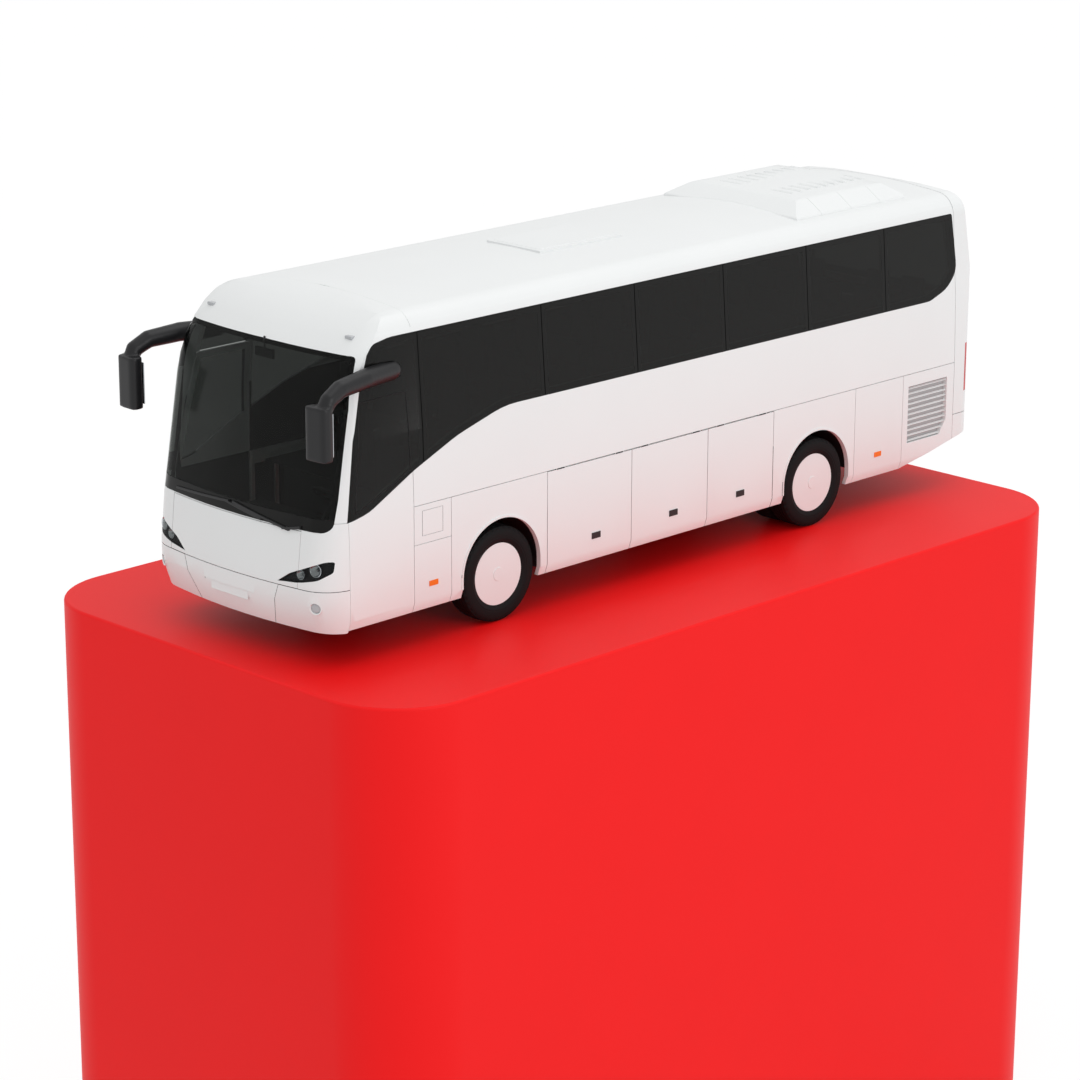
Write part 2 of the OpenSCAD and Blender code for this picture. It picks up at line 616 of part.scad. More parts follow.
module seats() color("dimgray") coach() {
    columns = [110 - half_w, 590 - half_w, half_w - 1030, half_w - 550];
    for (i = [0:8], x = columns) let (y = front_y - 350 + i * 790) {
        block([x, x + 440], [y, y + 460], [1640, 1740]);
        block([x, x + 440], [y + 460, y + 560], [1640, 2320]);
        block([x + 180, x + 260], [y + 180, y + 260], [floor_z + 24, 1640]);
    }
    block([half_w - 830, half_w - 410], [front_y - 1310, front_y - 880], [1240, 1330]);
    block([half_w - 830, half_w - 410], [front_y - 880, front_y - 790], [1320, 2020]);
    block([half_w - 710, half_w - 530], [front_y - 1180, front_y - 1000], [cab_floor + 24, 1240]);
}

// Running gear.
module front_axle() color("dimgray") coach() translate([0, front_y, wheel_z]) {
    block([200 - kingpin_x, kingpin_x - 200], [-45, 45], [-90, -10]);
    both() {
        difference() {
            union() {
                block([kingpin_x - 200, kingpin_x], [-36, 36], [-40, 40]);
                translate([kingpin_x, 0, -40]) cylinder(r = 41, h = 80);
            }
            translate([kingpin_x, 0, -60]) cylinder(r = 20.3, h = 120);
        }
        block([half_w - 850, half_w - 650], [-80, 80], [-10, 12]);
        translate([half_w - 795, 0, 12]) cylinder(r = 66, h = 570 - wheel_z - 12);
    }
}
module rear_axle() color("dimgray") coach() translate([0, rear_y, wheel_z]) {
    rod(75, -tyre_mid - 13, tyre_mid + 13);
    translate([-150, 0, 0]) rod(200, 0, 300);
    both() {
        block([half_w - 850, half_w - 710], [-90, 90], [60, 82]);
        translate([half_w - 795, 0, 82]) cylinder(r = 66, h = 600 - wheel_z - 82);
    }
}
module knuckle(s) color("gray") coach() translate([0, front_y, wheel_z]) side_of(s) {
    translate([kingpin_x, 0, -76]) cylinder(r = 20, h = 152);
    for (z = [-76, 50]) block([kingpin_x - 34, kingpin_x + 70], [-40, 40], [z, z + 26]);
    block([kingpin_x + 50, kingpin_x + 76], [-60, 60], [-76, 76]);
    rod(38, kingpin_x + 76, tyre_out_x - 66);
    block([kingpin_x - 20, kingpin_x + 20], [38, 170], [-76, -58]);
    translate([kingpin_x, 150, -104]) cylinder(r = 10, h = 30);
}
module track_rod() color("gray") coach() translate([0, front_y + 150, wheel_z - 104]) {
    rod(14, -kingpin_x + 26, kingpin_x - 26);
    both() translate([kingpin_x, 0, -12]) difference() {
        cylinder(r = 28, h = 24);
        translate([0, 0, -1]) cylinder(r = 10.3, h = 26);
    }
}
module tyre(x) translate([x, 0, 0]) rotate([0, 90, 0]) rotate_extrude($fn = 72)
    polygon([[286, -96], [314, -97], [356, -tyre_w / 2], [430, -tyre_w / 2], [tyre_r - 5, -112],
        [tyre_r, -70],
        [tyre_r, 70], [tyre_r - 5, 112], [430, tyre_w / 2], [356, tyre_w / 2], [314, 97], [286, 96]]);
module rim(x, r_hub) translate([x, 0, 0]) {
    difference() {
        rod(286, -98, 98);
        rod(268, -99, 99);
    }
    difference() {
        rod(disc_r, 98, 110);
        rod(r_hub, 90, 120);
    }
    difference() {
        rod(disc_r - 26, 88, 98);
        rod(r_hub, 80, 120);
    }
}
module wheel(x) {
    rim(x, 62);
    translate([x, 0, 0]) {
        rod(64, 78, 116);
        difference() {
            rod(150, 36, 92);
            rod(38.3, 0, 78);
        }
    }
}
module tyre_front_left() color("black") coach() translate([0, front_y, wheel_z]) tyre(tyre_mid);
module tyre_front_right() mirror([1, 0, 0]) tyre_front_left();
module tyres_rear_left() color("black") coach() translate([0, rear_y, wheel_z]) {
    tyre(tyre_mid);
    tyre(twin_mid);
}
module tyres_rear_right() mirror([1, 0, 0]) tyres_rear_left();
module wheel_front_left() color("white") coach() translate([0, front_y, wheel_z]) wheel(tyre_mid);
module wheel_front_right() mirror([1, 0, 0]) wheel_front_left();
module wheels_rear_left() color("white") coach() translate([0, rear_y, wheel_z]) {
    rim(tyre_mid, 62);
    translate([tyre_mid, 0, 0]) rod(64, 78, 116);
    difference() {
        rod(286, twin_mid - 98, twin_mid + 98);
        rod(268, twin_mid - 99, twin_mid + 99);
    }
    difference() {
        rod(270, twin_mid + 98, tyre_mid - 98);
        rod(75.3, twin_mid, tyre_mid);
    }
}
module wheels_rear_right() mirror([1, 0, 0]) wheels_rear_left();

module engine() color("gray") coach() {
    block([-400, 400], [front_y + 5700, front_y + 6700], [731, 1200]);
    difference() {
        translate([-620, front_y + 6300, 640]) rotate([-90, 0, 0])
            cylinder(r = 55, h = tail_y - front_y - 6300 - 20);
        translate([-620, front_y + 6400, 640]) rotate([-90, 0, 0]) cylinder(r = 50, h = 1000);
    }
    block([-675, -530], [front_y + 6300, front_y + 6380], [690, 740]);
    block([-675, -400], [front_y + 6300, front_y + 6380], [732, 800]);
}

plinth();
chassis_frame();
side_frame();
passenger_floor();
cab_floor_steps();
luggage_floor();
wheel_housings();
union() {
    front_cap();
    color("gray") coach() on_door_pins([1180]) hinge_pin(120, 6);
}
union() {
    front_bumper();
    color("gray") coach() on_door_pins([500]) hinge_pin(120, 6);
}
scuttle_panel();
roof();
union() { side_wall(1); wall_hinges(1); }  // side_wall_left
union() { side_wall(-1); wall_hinges(-1); }  // side_wall_right
skirt_panels(1);  // skirt_panels_left
skirt_panels(-1);  // skirt_panels_right
union() {
    rear_cap();
    color("gray") coach() on_lid_pins() hinge_pin(120, 6);
}
rear_bumper();
engine_grilles();
windscreen();
side_glass(1);  // side_glass_left
side_glass(-1);  // side_glass_right
rear_window();
union() {
    passenger_door();
    color("gray") coach() on_door_pins([500, 1180]) hinge_eye(120, 6);
}
door_glass();
luggage_flap(1, 0);  // luggage_flap_left_1
luggage_flap(1, 1);  // luggage_flap_left_2
luggage_flap(1, 2);  // luggage_flap_left_3
luggage_flap(-1, 0);  // luggage_flap_right_1
luggage_flap(-1, 1);  // luggage_flap_right_2
luggage_flap(-1, 2);  // luggage_flap_right_3
union() {
    engine_lid();
    color("gray") coach() on_lid_pins() hinge_eye(120, 6);
}
mirrors();
wipers();
headlamps();
tail_lamps();
side_markers();
roof_air_unit();
front_axle();
rear_axle();
knuckle(1);  // knuckle_left
knuckle(-1);  // knuckle_right
track_rod();
tyre_front_left();
tyre_front_right();
tyres_rear_left();
tyres_rear_right();
wheel_front_left();
wheel_front_right();
wheels_rear_left();
wheels_rear_right();
engine();
seats();
dashboard();
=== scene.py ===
# %% [markdown]
# # A nine-metre coach on a red plinth
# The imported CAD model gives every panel, wheel and hinge its place and size. This script gives them their
# looks: paint, tinted glass, rubber and plastic, the soft edges of pressed panels, the seats behind the
# glass, and the light of a white studio. Each step says what the piece is on the real coach and how it is
# made here.

# %% Load the frame
import json
import math

import bmesh
import bpy
from mathutils import Matrix, Vector
from mathutils.bvhtree import BVHTree


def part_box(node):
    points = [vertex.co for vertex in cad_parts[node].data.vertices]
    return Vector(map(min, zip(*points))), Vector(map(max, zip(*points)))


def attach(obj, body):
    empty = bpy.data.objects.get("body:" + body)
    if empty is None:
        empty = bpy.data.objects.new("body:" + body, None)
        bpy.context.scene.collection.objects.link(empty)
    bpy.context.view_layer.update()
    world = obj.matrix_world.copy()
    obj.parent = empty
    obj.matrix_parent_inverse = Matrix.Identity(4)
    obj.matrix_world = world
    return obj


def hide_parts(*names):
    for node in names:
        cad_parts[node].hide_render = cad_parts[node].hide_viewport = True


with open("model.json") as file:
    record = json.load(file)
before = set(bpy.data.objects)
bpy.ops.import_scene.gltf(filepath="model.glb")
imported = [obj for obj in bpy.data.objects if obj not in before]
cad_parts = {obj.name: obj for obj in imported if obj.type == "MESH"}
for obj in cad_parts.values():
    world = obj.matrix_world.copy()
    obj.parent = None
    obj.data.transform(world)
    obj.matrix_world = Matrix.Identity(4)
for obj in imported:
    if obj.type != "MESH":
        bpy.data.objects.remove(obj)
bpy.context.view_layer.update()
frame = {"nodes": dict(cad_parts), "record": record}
nodes = frame["nodes"]
print("nodes loaded:", len(nodes))

# %% [markdown]
# ## Where things are
# The coach stands on the plinth's top face and looks along -Y; its left side is +X. All places below are
# worked out from the boxes of the CAD nodes, in metres, so the looks follow the part if a size changes.

# %% Places taken from the frame
def box(name):
    low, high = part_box(name)
    return Vector(low), Vector(high)


plinth_low, plinth_high = box("plinth")
ground = plinth_high.z
wheel_low, wheel_high = box("tyre_front_left")
tyre_radius = (wheel_high.z - wheel_low.z) / 2
front_axle = Vector((0, (wheel_low.y + wheel_high.y) / 2, (wheel_low.z + wheel_high.z) / 2))
rear_low, rear_high = box("tyres_rear_left")
rear_axle = Vector((0, (rear_low.y + rear_high.y) / 2, (rear_low.z + rear_high.z) / 2))
print("ground", round(ground, 3), "front axle", front_axle[:], "rear axle", rear_axle[:])

# The skirt panels reach out to the lips of their wheel arches, which stand proud of the skin.
ARCH_LIP = 0.007
half_width = box("skirt_panels_left")[1].x - ARCH_LIP
X, Y, Z = Vector((1, 0, 0)), Vector((0, 1, 0)), Vector((0, 0, 1))


def at(x, y, z):
    """A place on the coach: x from its middle plane, y behind the front axle, z above the plinth's top."""
    return Vector((x, front_axle.y + y, ground + z))


print("half width", round(half_width, 4))

# %% [markdown]
# ## Small helpers
# Operators act on whatever is selected, and loading leaves the CAD nodes selected, so a helper first clears
# the selection and then picks one object. Faces could be chosen with a mouse; a script chooses them by
# their place, in object mode, and then lets an edit-mode operator work on them.

# %% Selection and finishing helpers
def pick(*objects):
    bpy.ops.object.select_all(action="DESELECT")
    for item in objects:
        item.select_set(True)
    bpy.context.view_layer.objects.active = objects[-1]


def apply_modifiers(piece):
    pick(piece)
    for modifier in list(piece.modifiers):
        bpy.ops.object.modifier_apply(modifier=modifier.name)


def smooth(piece, degrees):
    pick(piece)
    bpy.ops.object.shade_smooth_by_angle(angle=math.radians(degrees))


def clear_faces(piece):
    """Leaves no face of a piece selected, and faces as what a selection means."""
    pick(piece)
    bpy.ops.object.mode_set(mode="EDIT")
    bpy.ops.mesh.select_mode(type="FACE")
    bpy.ops.mesh.select_all(action="DESELECT")
    bpy.ops.object.mode_set(mode="OBJECT")


def inset_chosen(thickness, depth, each=False):
    """Insets the chosen faces of the active piece, as one region or each by itself."""
    bpy.ops.object.mode_set(mode="EDIT")
    bpy.ops.mesh.inset(thickness=thickness, depth=depth, use_individual=each)
    bpy.ops.object.mode_set(mode="OBJECT")


def cube_between(low, high):
    bpy.ops.object.select_all(action="DESELECT")
    bpy.ops.mesh.primitive_cube_add(size=1, location=(low + high) / 2)
    piece = bpy.context.object
    piece.scale = high - low
    bpy.ops.object.transform_apply(location=True, rotation=False, scale=True)
    return piece


def copied(source, name, offset=None):
    """A copy with a mesh of its own, moved by an offset."""
    piece = source.copy()
    piece.data = source.data.copy()
    piece.name = name
    bpy.context.collection.objects.link(piece)
    if offset:
        piece.data.transform(Matrix.Translation(offset))
    return piece


# %% [markdown]
# A CAD node is a bag of loose triangles. A panel's looks start from a copy of it: the triangles are merged,
# flat regions become single faces again, and a narrow bevel rounds every edge, which is what catches the
# light along a real panel gap. Weighted normals keep the big faces flat, so that only the bevels shade
# round. The joint between the walls and the roof is flush on the real coach, so its edges get no bevel.

# %% Panels from CAD nodes
body_of = {node: body for body, members in frame["record"]["behaviour"]["bodies"].items() for node in members}
MERGE, FLAT, SHARP = 0.00002, 0.3, 30
ROOF_JOINT, NEARBY = 3.05, 0.004


def merged_copy(name):
    piece = copied(nodes[name], name + "_dressed")
    pick(piece)
    bpy.ops.object.mode_set(mode="EDIT")
    bpy.ops.mesh.select_all(action="SELECT")
    bpy.ops.mesh.remove_doubles(threshold=MERGE)
    bpy.ops.mesh.dissolve_limited(angle_limit=math.radians(FLAT))
    bpy.ops.object.mode_set(mode="OBJECT")
    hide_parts(name)
    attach(piece, body_of[name])
    return piece


def at_roof_joint(place):
    return abs(place.z - ground - ROOF_JOINT) < NEARBY


def sharp_edges(piece):
    """Gives a bevel weight to every sharp edge, apart from those along the roof's joint."""
    shape = bmesh.new()
    shape.from_mesh(piece.data)
    weight = shape.edges.layers.float.new("bevel_weight_edge")
    for edge in shape.edges:
        if len(edge.link_faces) == 2 and edge.calc_face_angle(0) > math.radians(SHARP):
            middle = (edge.verts[0].co + edge.verts[1].co) / 2
            edge[weight] = 0.0 if at_roof_joint(middle) else 1.0
    shape.to_mesh(piece.data)
    shape.free()


def soften(piece, width, segments):
    """Rounds the sharp edges of a piece and gives it clean shading."""
    pick(piece)
    if width:
        sharp_edges(piece)
        rounding = piece.modifiers.new("rounding", "BEVEL")
        rounding.width = width
        rounding.segments = segments
        rounding.limit_method = "WEIGHT"
        apply_modifiers(piece)
    smooth(piece, SHARP)
    piece.modifiers.new("weighted", "WEIGHTED_NORMAL").keep_sharp = True
    apply_modifiers(piece)
    return piece


# %% [markdown]
# Some joints on the body are only pressed lines. Each is cut the way a router would: two cuts bound a
# narrow band, the band's outer faces are chosen by their place, and an inset with a depth sinks them into
# the skin. The bottom of a line is painted grey as painted shade, since so shallow a groove hardly shades
# itself; the lines of the small hatch on the left get no painted shade and keep the paint.

# %% Which faces a line may run over
FRONT_TO_MIDDLE = 2.4
END_SHARE, OUTWARD = 0.35, 0.3
# Stretches behind the front axle, and heights above the plinth's top.
SERVICE_PANEL_Y = (-1.13, -0.665)
HATCH_Y, HATCH_Z = (-1.033, -0.767), (1.07, 1.32)
HATCH_EDGE_Z, HATCH_END = (1.073, 1.317), -0.7
LAMP_CORNER = 0.6
BUMPER_CORNER = 0.4


def between(value, low, high):
    return low < value < high


def outer(polygon):
    """True on faces that look away from the coach's middle."""
    away = Vector((polygon.center.x, polygon.center.y - front_axle.y - FRONT_TO_MIDDLE, 0))
    away.x = math.copysign(1, away.x)
    away.y = math.copysign(END_SHARE, away.y)
    return polygon.normal.dot(away) > OUTWARD


def service_panel(p):
    return outer(p) and between(p.center.y - front_axle.y, *SERVICE_PANEL_Y)


def hatch_frame(p):
    return (outer(p) and between(p.center.y - front_axle.y, *HATCH_Y) and p.center.x > 0
            and between(p.center.z - ground, *HATCH_Z))


def hatch_side(p):
    return outer(p) and between(p.center.z - ground, *HATCH_EDGE_Z) and p.center.y < front_axle.y + HATCH_END


def lamp_corner(p):
    return outer(p) and abs(p.center.x) > half_width - LAMP_CORNER


def left_front(p):
    return outer(p) and p.center.x > BUMPER_CORNER


def right_front(p):
    return outer(p) and p.center.x < -BUMPER_CORNER


# %% Pressed joint lines
# The order of a painted panel's materials, and how deep a line is pressed.
SKIN, FLANGE, LINING, LINE = range(4)
LINE_DEPTH = 0.005


def slice_band(piece, point, normal, width):
    """Cuts a piece along both edges of a band."""
    pick(piece)
    bpy.ops.object.mode_set(mode="EDIT")
    for side in (-1, 1):
        bpy.ops.mesh.select_all(action="SELECT")
        bpy.ops.mesh.bisect(plane_co=point + normal * side * width / 2, plane_no=normal)
    bpy.ops.object.mode_set(mode="OBJECT")
    clear_faces(piece)


def press_lines(piece, cuts):
    """Cuts all bands first, so that each ends at the next, then sinks the chosen faces together."""
    for point, normal, chosen, width in cuts:
        slice_band(piece, point, normal.normalized(), width)
    found = 0
    for polygon in piece.data.polygons:
        polygon.select = any(
            abs((polygon.center - point).dot(normal.normalized())) < width / 2 and chosen(polygon)
            for point, normal, chosen, width in cuts)
        found += polygon.select
    if found:
        inset_chosen(0.0, -LINE_DEPTH)
        for polygon in piece.data.polygons:
            # Apart from the hatch's, the sunk faces take the grey painted shade of the lines.
            if polygon.select and not hatch_frame(polygon) and not hatch_side(polygon):
                polygon.material_index = LINE
    print("lines on", piece.name, "faces", found)


# A cut is a point on the line, the direction across it, a test for its faces and its width.
FINE, MEDIUM, WIDE = 0.004, 0.006, 0.008
lines = {
    "tail_lamps": [(at(0, 0, z), Z, outer, WIDE) for z in (1.2, 1.39)],
    "roof_air_unit": [(at(0, y, 0), Y, outer, FINE) for y in (4.95, 5.42, 5.89)],
    "skirt_panels_left": [(at(0, 0, 1.0), Z, service_panel, MEDIUM)]
                         + [(at(0, 0, z), Z, hatch_frame, FINE) for z in (1.315, 1.075)]
                         + [(at(0, y, 0), Y, hatch_side, FINE) for y in (-1.03, -0.77)],
    "front_cap": [(at(0, 0, 1.385), Z, lamp_corner, MEDIUM)],
    "front_bumper": [(at(side * 0.667, 0, 0.74), Vector((side * 0.38, 0, -0.127)), chosen, MEDIUM)
                     for side, chosen in ((1, left_front), (-1, right_front))],
}


def dress(name, width, segments):
    piece = merged_copy(name)
    if name in lines:
        press_lines(piece, lines[name])
    return soften(piece, width, segments)


# %% [markdown]
# ## Materials
# Colours are written as the sRGB hex values one would pick from a paint card; Blender's sockets want linear
# values, so one function converts them. One more function adds a node, sets it and links it. The textures
# take Object coordinates, so a grain has a size in metres and stays on the piece when it moves.

# %% Colour and node helpers
def linear(hex_colour):
    """The sRGB curve, with its straight foot, undone for each channel; the alpha is 1."""
    values = [int(hex_colour[i:i + 2], 16) / 255 for i in (1, 3, 5)]
    return [v / 12.92 if v <= 0.04045 else ((v + 0.055) / 1.055) ** 2.4 for v in values] + [1.0]


def add(tree, kind, inputs=None, **settings):
    node = tree.nodes.new(kind)
    for name, value in settings.items():
        setattr(node, name, value)
    for name, value in (inputs or {}).items():
        if isinstance(value, bpy.types.NodeSocket):
            tree.links.new(value, node.inputs[name])
        else:
            node.inputs[name].default_value = value
    return node


def start(name):
    material = bpy.data.materials.new(name)
    material.use_nodes = True
    tree = material.node_tree
    tree.nodes.clear()
    place = add(tree, "ShaderNodeTexCoord").outputs["Object"]
    return material, tree, place


def finish(tree, shader):
    add(tree, "ShaderNodeOutputMaterial", {"Surface": shader})


# %% [markdown]
# No real finish is one flat colour. Each one here drifts between two near colours over the length of a
# panel, and a fine noise of the surface's real grain size moves its gloss and its bump a little. One
# function makes them all, so that a finish reads as one line: colours, grain, bump height, roughness and
# its spread.

# %% One function for all opaque finishes
MM = 0.001
DRIFT = 1.3


def grained(name, colour, second, grain_mm, bump_mm, rough, rough_spread, **socket_values):
    """A surface whose colour and gloss drift a little, with a grain of a real size."""
    material, tree, place = start(name)
    drift = add(tree, "ShaderNodeTexNoise", {"Vector": place, "Scale": DRIFT, "Detail": 3.0})
    grain = add(tree, "ShaderNodeTexNoise", {"Vector": place, "Scale": 1 / (grain_mm * MM), "Detail": 2.0})
    mix = add(tree, "ShaderNodeMix", {0: drift.outputs["Fac"], 6: linear(colour), 7: linear(second)},
              data_type="RGBA")
    gloss = add(tree, "ShaderNodeMapRange", {"Value": grain.outputs["Fac"], "To Min": rough - rough_spread,
                                             "To Max": rough + rough_spread})
    bump = add(tree, "ShaderNodeBump", {"Height": grain.outputs["Fac"], "Distance": bump_mm * MM,
                                        "Strength": 1.0})
    shader = add(tree, "ShaderNodeBsdfPrincipled", {"Base Color": mix.outputs[2],
                                                    "Roughness": gloss.outputs["Result"],
                                                    "Normal": bump.outputs["Normal"], **socket_values})
    finish(tree, shader.outputs["BSDF"])
    return material


# %% Paint, glass, rubber and plastics
# Two-pack coach enamel, sprayed: a clear gloss over white, with a faint orange peel.
white_enamel = grained("coach_enamel_white", "#e9ebeb", "#e6e8e8", 9, 0.012, 0.4, 0.02,
                       **{"Coat Weight": 0.12, "Coat Roughness": 0.15, "IOR": 1.45})
# Satin laminate board on the plinth, rolled: no clear coat, a broad soft sheen.
red_laminate = grained("laminate_red_satin", "#f51214", "#f11113", 12, 0.01, 0.5, 0.02,
                       **{"IOR": 1.45, "Specular IOR Level": 0.22})
# Moulded sidewall rubber: dull, with the grain of the mould.
tyre_rubber = grained("tyre_rubber_moulded", "#0c0c0d", "#111112", 6, 0.08, 0.7, 0.06,
                      **{"Specular IOR Level": 0.2})
# ABS mirror shells and trims, moulded with a fine grain.
dark_abs = grained("abs_grained_dark", "#1b1b1d", "#171719", 4, 0.03, 0.4, 0.04,
                   **{"Specular IOR Level": 0.35})
black_abs = grained("abs_grained_black", "#171718", "#1c1c1e", 4, 0.03, 0.5, 0.05)
# Primer under the bonded glass, brushed on: flat black.
black_primer = grained("glass_primer_black", "#0c0c0d", "#101011", 8, 0.02, 0.7, 0.04,
                       **{"Specular IOR Level": 0.2})
# Cabin trim: vinyl-faced lining, moulded.
cabin_trim = grained("lining_vinyl_charcoal", "#1d1e20", "#242527", 6, 0.05, 0.7, 0.05)
# Electrocoated steel of rails and posts: black-grey, slightly uneven.
frame_coat = grained("electrocoat_steel", "#2b2c2e", "#333436", 15, 0.05, 0.5, 0.06, Metallic=0.2)
# Cast and forged running gear.
cast_steel = grained("cast_steel_painted", "#37383a", "#2b2c2d", 7, 0.15, 0.58, 0.08, Metallic=0.35)
# Rubberised floor covering.
floor_vinyl = grained("floor_vinyl_grey", "#3a3b3e", "#44454a", 8, 0.05, 0.66, 0.05)
# Woven seat moquette.
seat_moquette = grained("seat_moquette_dark", "#23242a", "#2e3038", 5, 0.3, 0.9, 0.03,
                        **{"Sheen Weight": 0.4})
# Orange reflector, red lamp lens, and the black housing of the headlamps.
orange_lens = grained("acrylic_lens_orange", "#f67a1e", "#f07016", 5, 0.05, 0.3, 0.03,
                      **{"Specular IOR Level": 0.25})
red_lens = grained("acrylic_lens_red", "#c8101c", "#bb0c18", 5, 0.05, 0.3, 0.03,
                   **{"Specular IOR Level": 0.2})
lamp_housing = grained("lamp_housing_abs_black", "#131314", "#18181a", 6, 0.02, 0.4, 0.03,
                       **{"Specular IOR Level": 0.3})
# Vacuum-coated reflectors and mirror glass: bright metal, polished.
chromed = grained("aluminium_vacuum_coated", "#c9ccd0", "#bfc2c6", 8, 0.01, 0.12, 0.03, Metallic=1.0)
# Clear polycarbonate of the small lamps: pale grey, moulded.
pale_lens = grained("polycarbonate_lens_pale", "#b9bbbe", "#adb0b3", 4, 0.05, 0.22, 0.03,
                    **{"Coat Weight": 0.3})
# Painted shade: a mid grey at the bottom of the pressed lines, darker than their shallow grooves shade.
pressed_line_painted_shade = grained("pressed_line_painted_shade_grey", "#7c7b7c", "#737273", 6, 0.02, 0.7, 0.04)
# EPDM window rubber, extruded: matt black.
window_rubber = grained("epdm_rubber_black", "#111112", "#161617", 5, 0.04, 0.62, 0.05,
                        **{"Specular IOR Level": 0.25})
# Air-intake mesh behind the louvres, coated grey.
intake_grey = grained("intake_mesh_grey", "#b4b2b3", "#aaa8a9", 6, 0.2, 0.7, 0.04)

# %% [markdown]
# Coach glass is dyed in the mass: it reflects like a dark pane, and part of the light goes straight
# through, so that the seats show faintly. Full refraction would be slow and noisy for panes this thin, so a
# mix of a dark glossy surface and a transparent one stands for it; the share that goes through is the tint.

# %% Tinted glass
CLEAR_TINT = "#f0f3f1"


def tinted(name, colour, clear):
    """Tinted safety glass: a dark pane that lets part of the light straight through."""
    material, tree, place = start(name)
    waver = add(tree, "ShaderNodeTexNoise", {"Vector": place, "Scale": 0.8, "Detail": 1.0})
    tone = add(tree, "ShaderNodeMapRange", {"Value": waver.outputs["Fac"], "To Min": 0.05, "To Max": 0.09})
    pane = add(tree, "ShaderNodeBsdfPrincipled", {"Base Color": linear(colour),
                                                  "Roughness": tone.outputs["Result"],
                                                  "IOR": 1.5, "Specular IOR Level": 0.16})
    see = add(tree, "ShaderNodeBsdfTransparent", {"Color": linear(CLEAR_TINT)})
    mix = add(tree, "ShaderNodeMixShader", {0: clear, 1: pane.outputs["BSDF"], 2: see.outputs["BSDF"]})
    finish(tree, mix.outputs["Shader"])
    return material


side_tint = tinted("safety_glass_privacy", "#1f1f1e", 0.27)
screen_tint = tinted("safety_glass_screen", "#1b1b1a", 0.62)
# Ceramic print fired on the edge of each pane, which hides the bonding: black, as glossy as the glass.
ceramic_print = tinted("safety_glass_printed_edge", "#131312", 0.0)
lamp_cover = tinted("polycarbonate_lamp_cover", "#1c1c1e", 0.6)
print("materials", len(bpy.data.materials))

# %% [markdown]
# ## Skin and lining
# A coach panel is painted outside and lined inside. Which faces are outside is found by looking out from
# each face: a face that sees nothing is skin, one that looks at glass is bonding flange, which is primed
# black, and one that looks into the cabin or a bay is lined in dark trim. The sides of a narrow panel joint
# look at each other and stay painted. The edges of the wheel arches and of the intake are painted too. The
# flaps' hinge eyes, seen through the joint above the flaps, take the dark trim as painted shade, so that
# the joint shows as one dark line.

# %% Choosing materials face by face
GLASS = ("windscreen", "side_glass_left", "side_glass_right", "rear_window", "door_glass")
OUTSIDE = ("plinth", "mirrors", "wipers")


def tree_of(names):
    corners, faces = [], []
    for name in names:
        mesh = nodes[name].data
        first = len(corners)
        corners += [v.co.copy() for v in mesh.vertices]
        faces += [[first + i for i in polygon.vertices] for polygon in mesh.polygons]
    return BVHTree.FromPolygons(corners, faces)


glass_tree = tree_of(GLASS)
coach_tree = tree_of([name for name in nodes if name not in OUTSIDE + GLASS])
print("faces to look at:", sum(len(nodes[name].data.polygons) for name in nodes))

# %% Edges that keep the paint, and hinge eyes painted with shade
ARCH_Z, ARCH_EDGE = 0.525, (0.5, 0.52)
GRILLE_Y, GRILLE_Z = (6.03, 6.72), (0.6, 1.26)
PANEL_EDGE = 0.045
HINGE_LINE, HINGE_INSET, HINGE_REACH = 1.372, 0.002, 0.009


def at_arch(centre):
    """True on the rim of a wheel arch: an arc above the arch's centre, and two upright edges below it."""
    height = centre.z - ground - ARCH_Z
    for axle in (front_axle, rear_axle):
        out = math.hypot(centre.y - axle.y, height) if height > 0 else abs(centre.y - axle.y)
        if between(out, *ARCH_EDGE):
            return True
    return False


def at_grille(centre):
    return between(centre.y - front_axle.y, *GRILLE_Y) and between(centre.z - ground, *GRILLE_Z)


def painted_edge(centre):
    return (at_grille(centre) or at_arch(centre)) and abs(centre.x) > half_width - PANEL_EDGE


def hinge_eye_painted_shade(piece, polygon):
    """True on a luggage flap's face whose corners all lie close to the hinge line."""
    corners = [piece.data.vertices[i].co for i in polygon.vertices]
    return piece.name.startswith("luggage_flap") and all(
        math.hypot(abs(c.x) - half_width + HINGE_INSET, c.z - ground - HINGE_LINE) < HINGE_REACH
        for c in corners)


# %% Skin, flange and lining
LOOK_OFF, GLASS_NEAR, JOINT, CABIN = 0.0004, 0.02, 0.014, 4.0


def line_inside(piece, skin, flange, lining):
    """Paints a piece's skin, bonding flanges and inner side in their own materials."""
    piece.data.materials.clear()
    # The fourth material is the grey painted shade at the bottom of the pressed lines.
    for material in (skin, flange, lining, pressed_line_painted_shade):
        piece.data.materials.append(material)
    for polygon in piece.data.polygons:
        if polygon.material_index == LINE:
            continue
        polygon.material_index = SKIN
        # Painted shade: a hinge eye seen through the joint above the flaps takes the dark lining, so the
        # joint reads as one dark line.
        if hinge_eye_painted_shade(piece, polygon):
            polygon.material_index = LINING
        if polygon.material_index or painted_edge(polygon.center):
            continue
        eye = polygon.center + polygon.normal * LOOK_OFF
        to_glass = glass_tree.ray_cast(eye, polygon.normal, GLASS_NEAR)[0]
        wall = coach_tree.ray_cast(eye, polygon.normal, CABIN)
        if to_glass:
            polygon.material_index = FLANGE
        elif wall[0] and wall[3] > JOINT:
            polygon.material_index = LINING


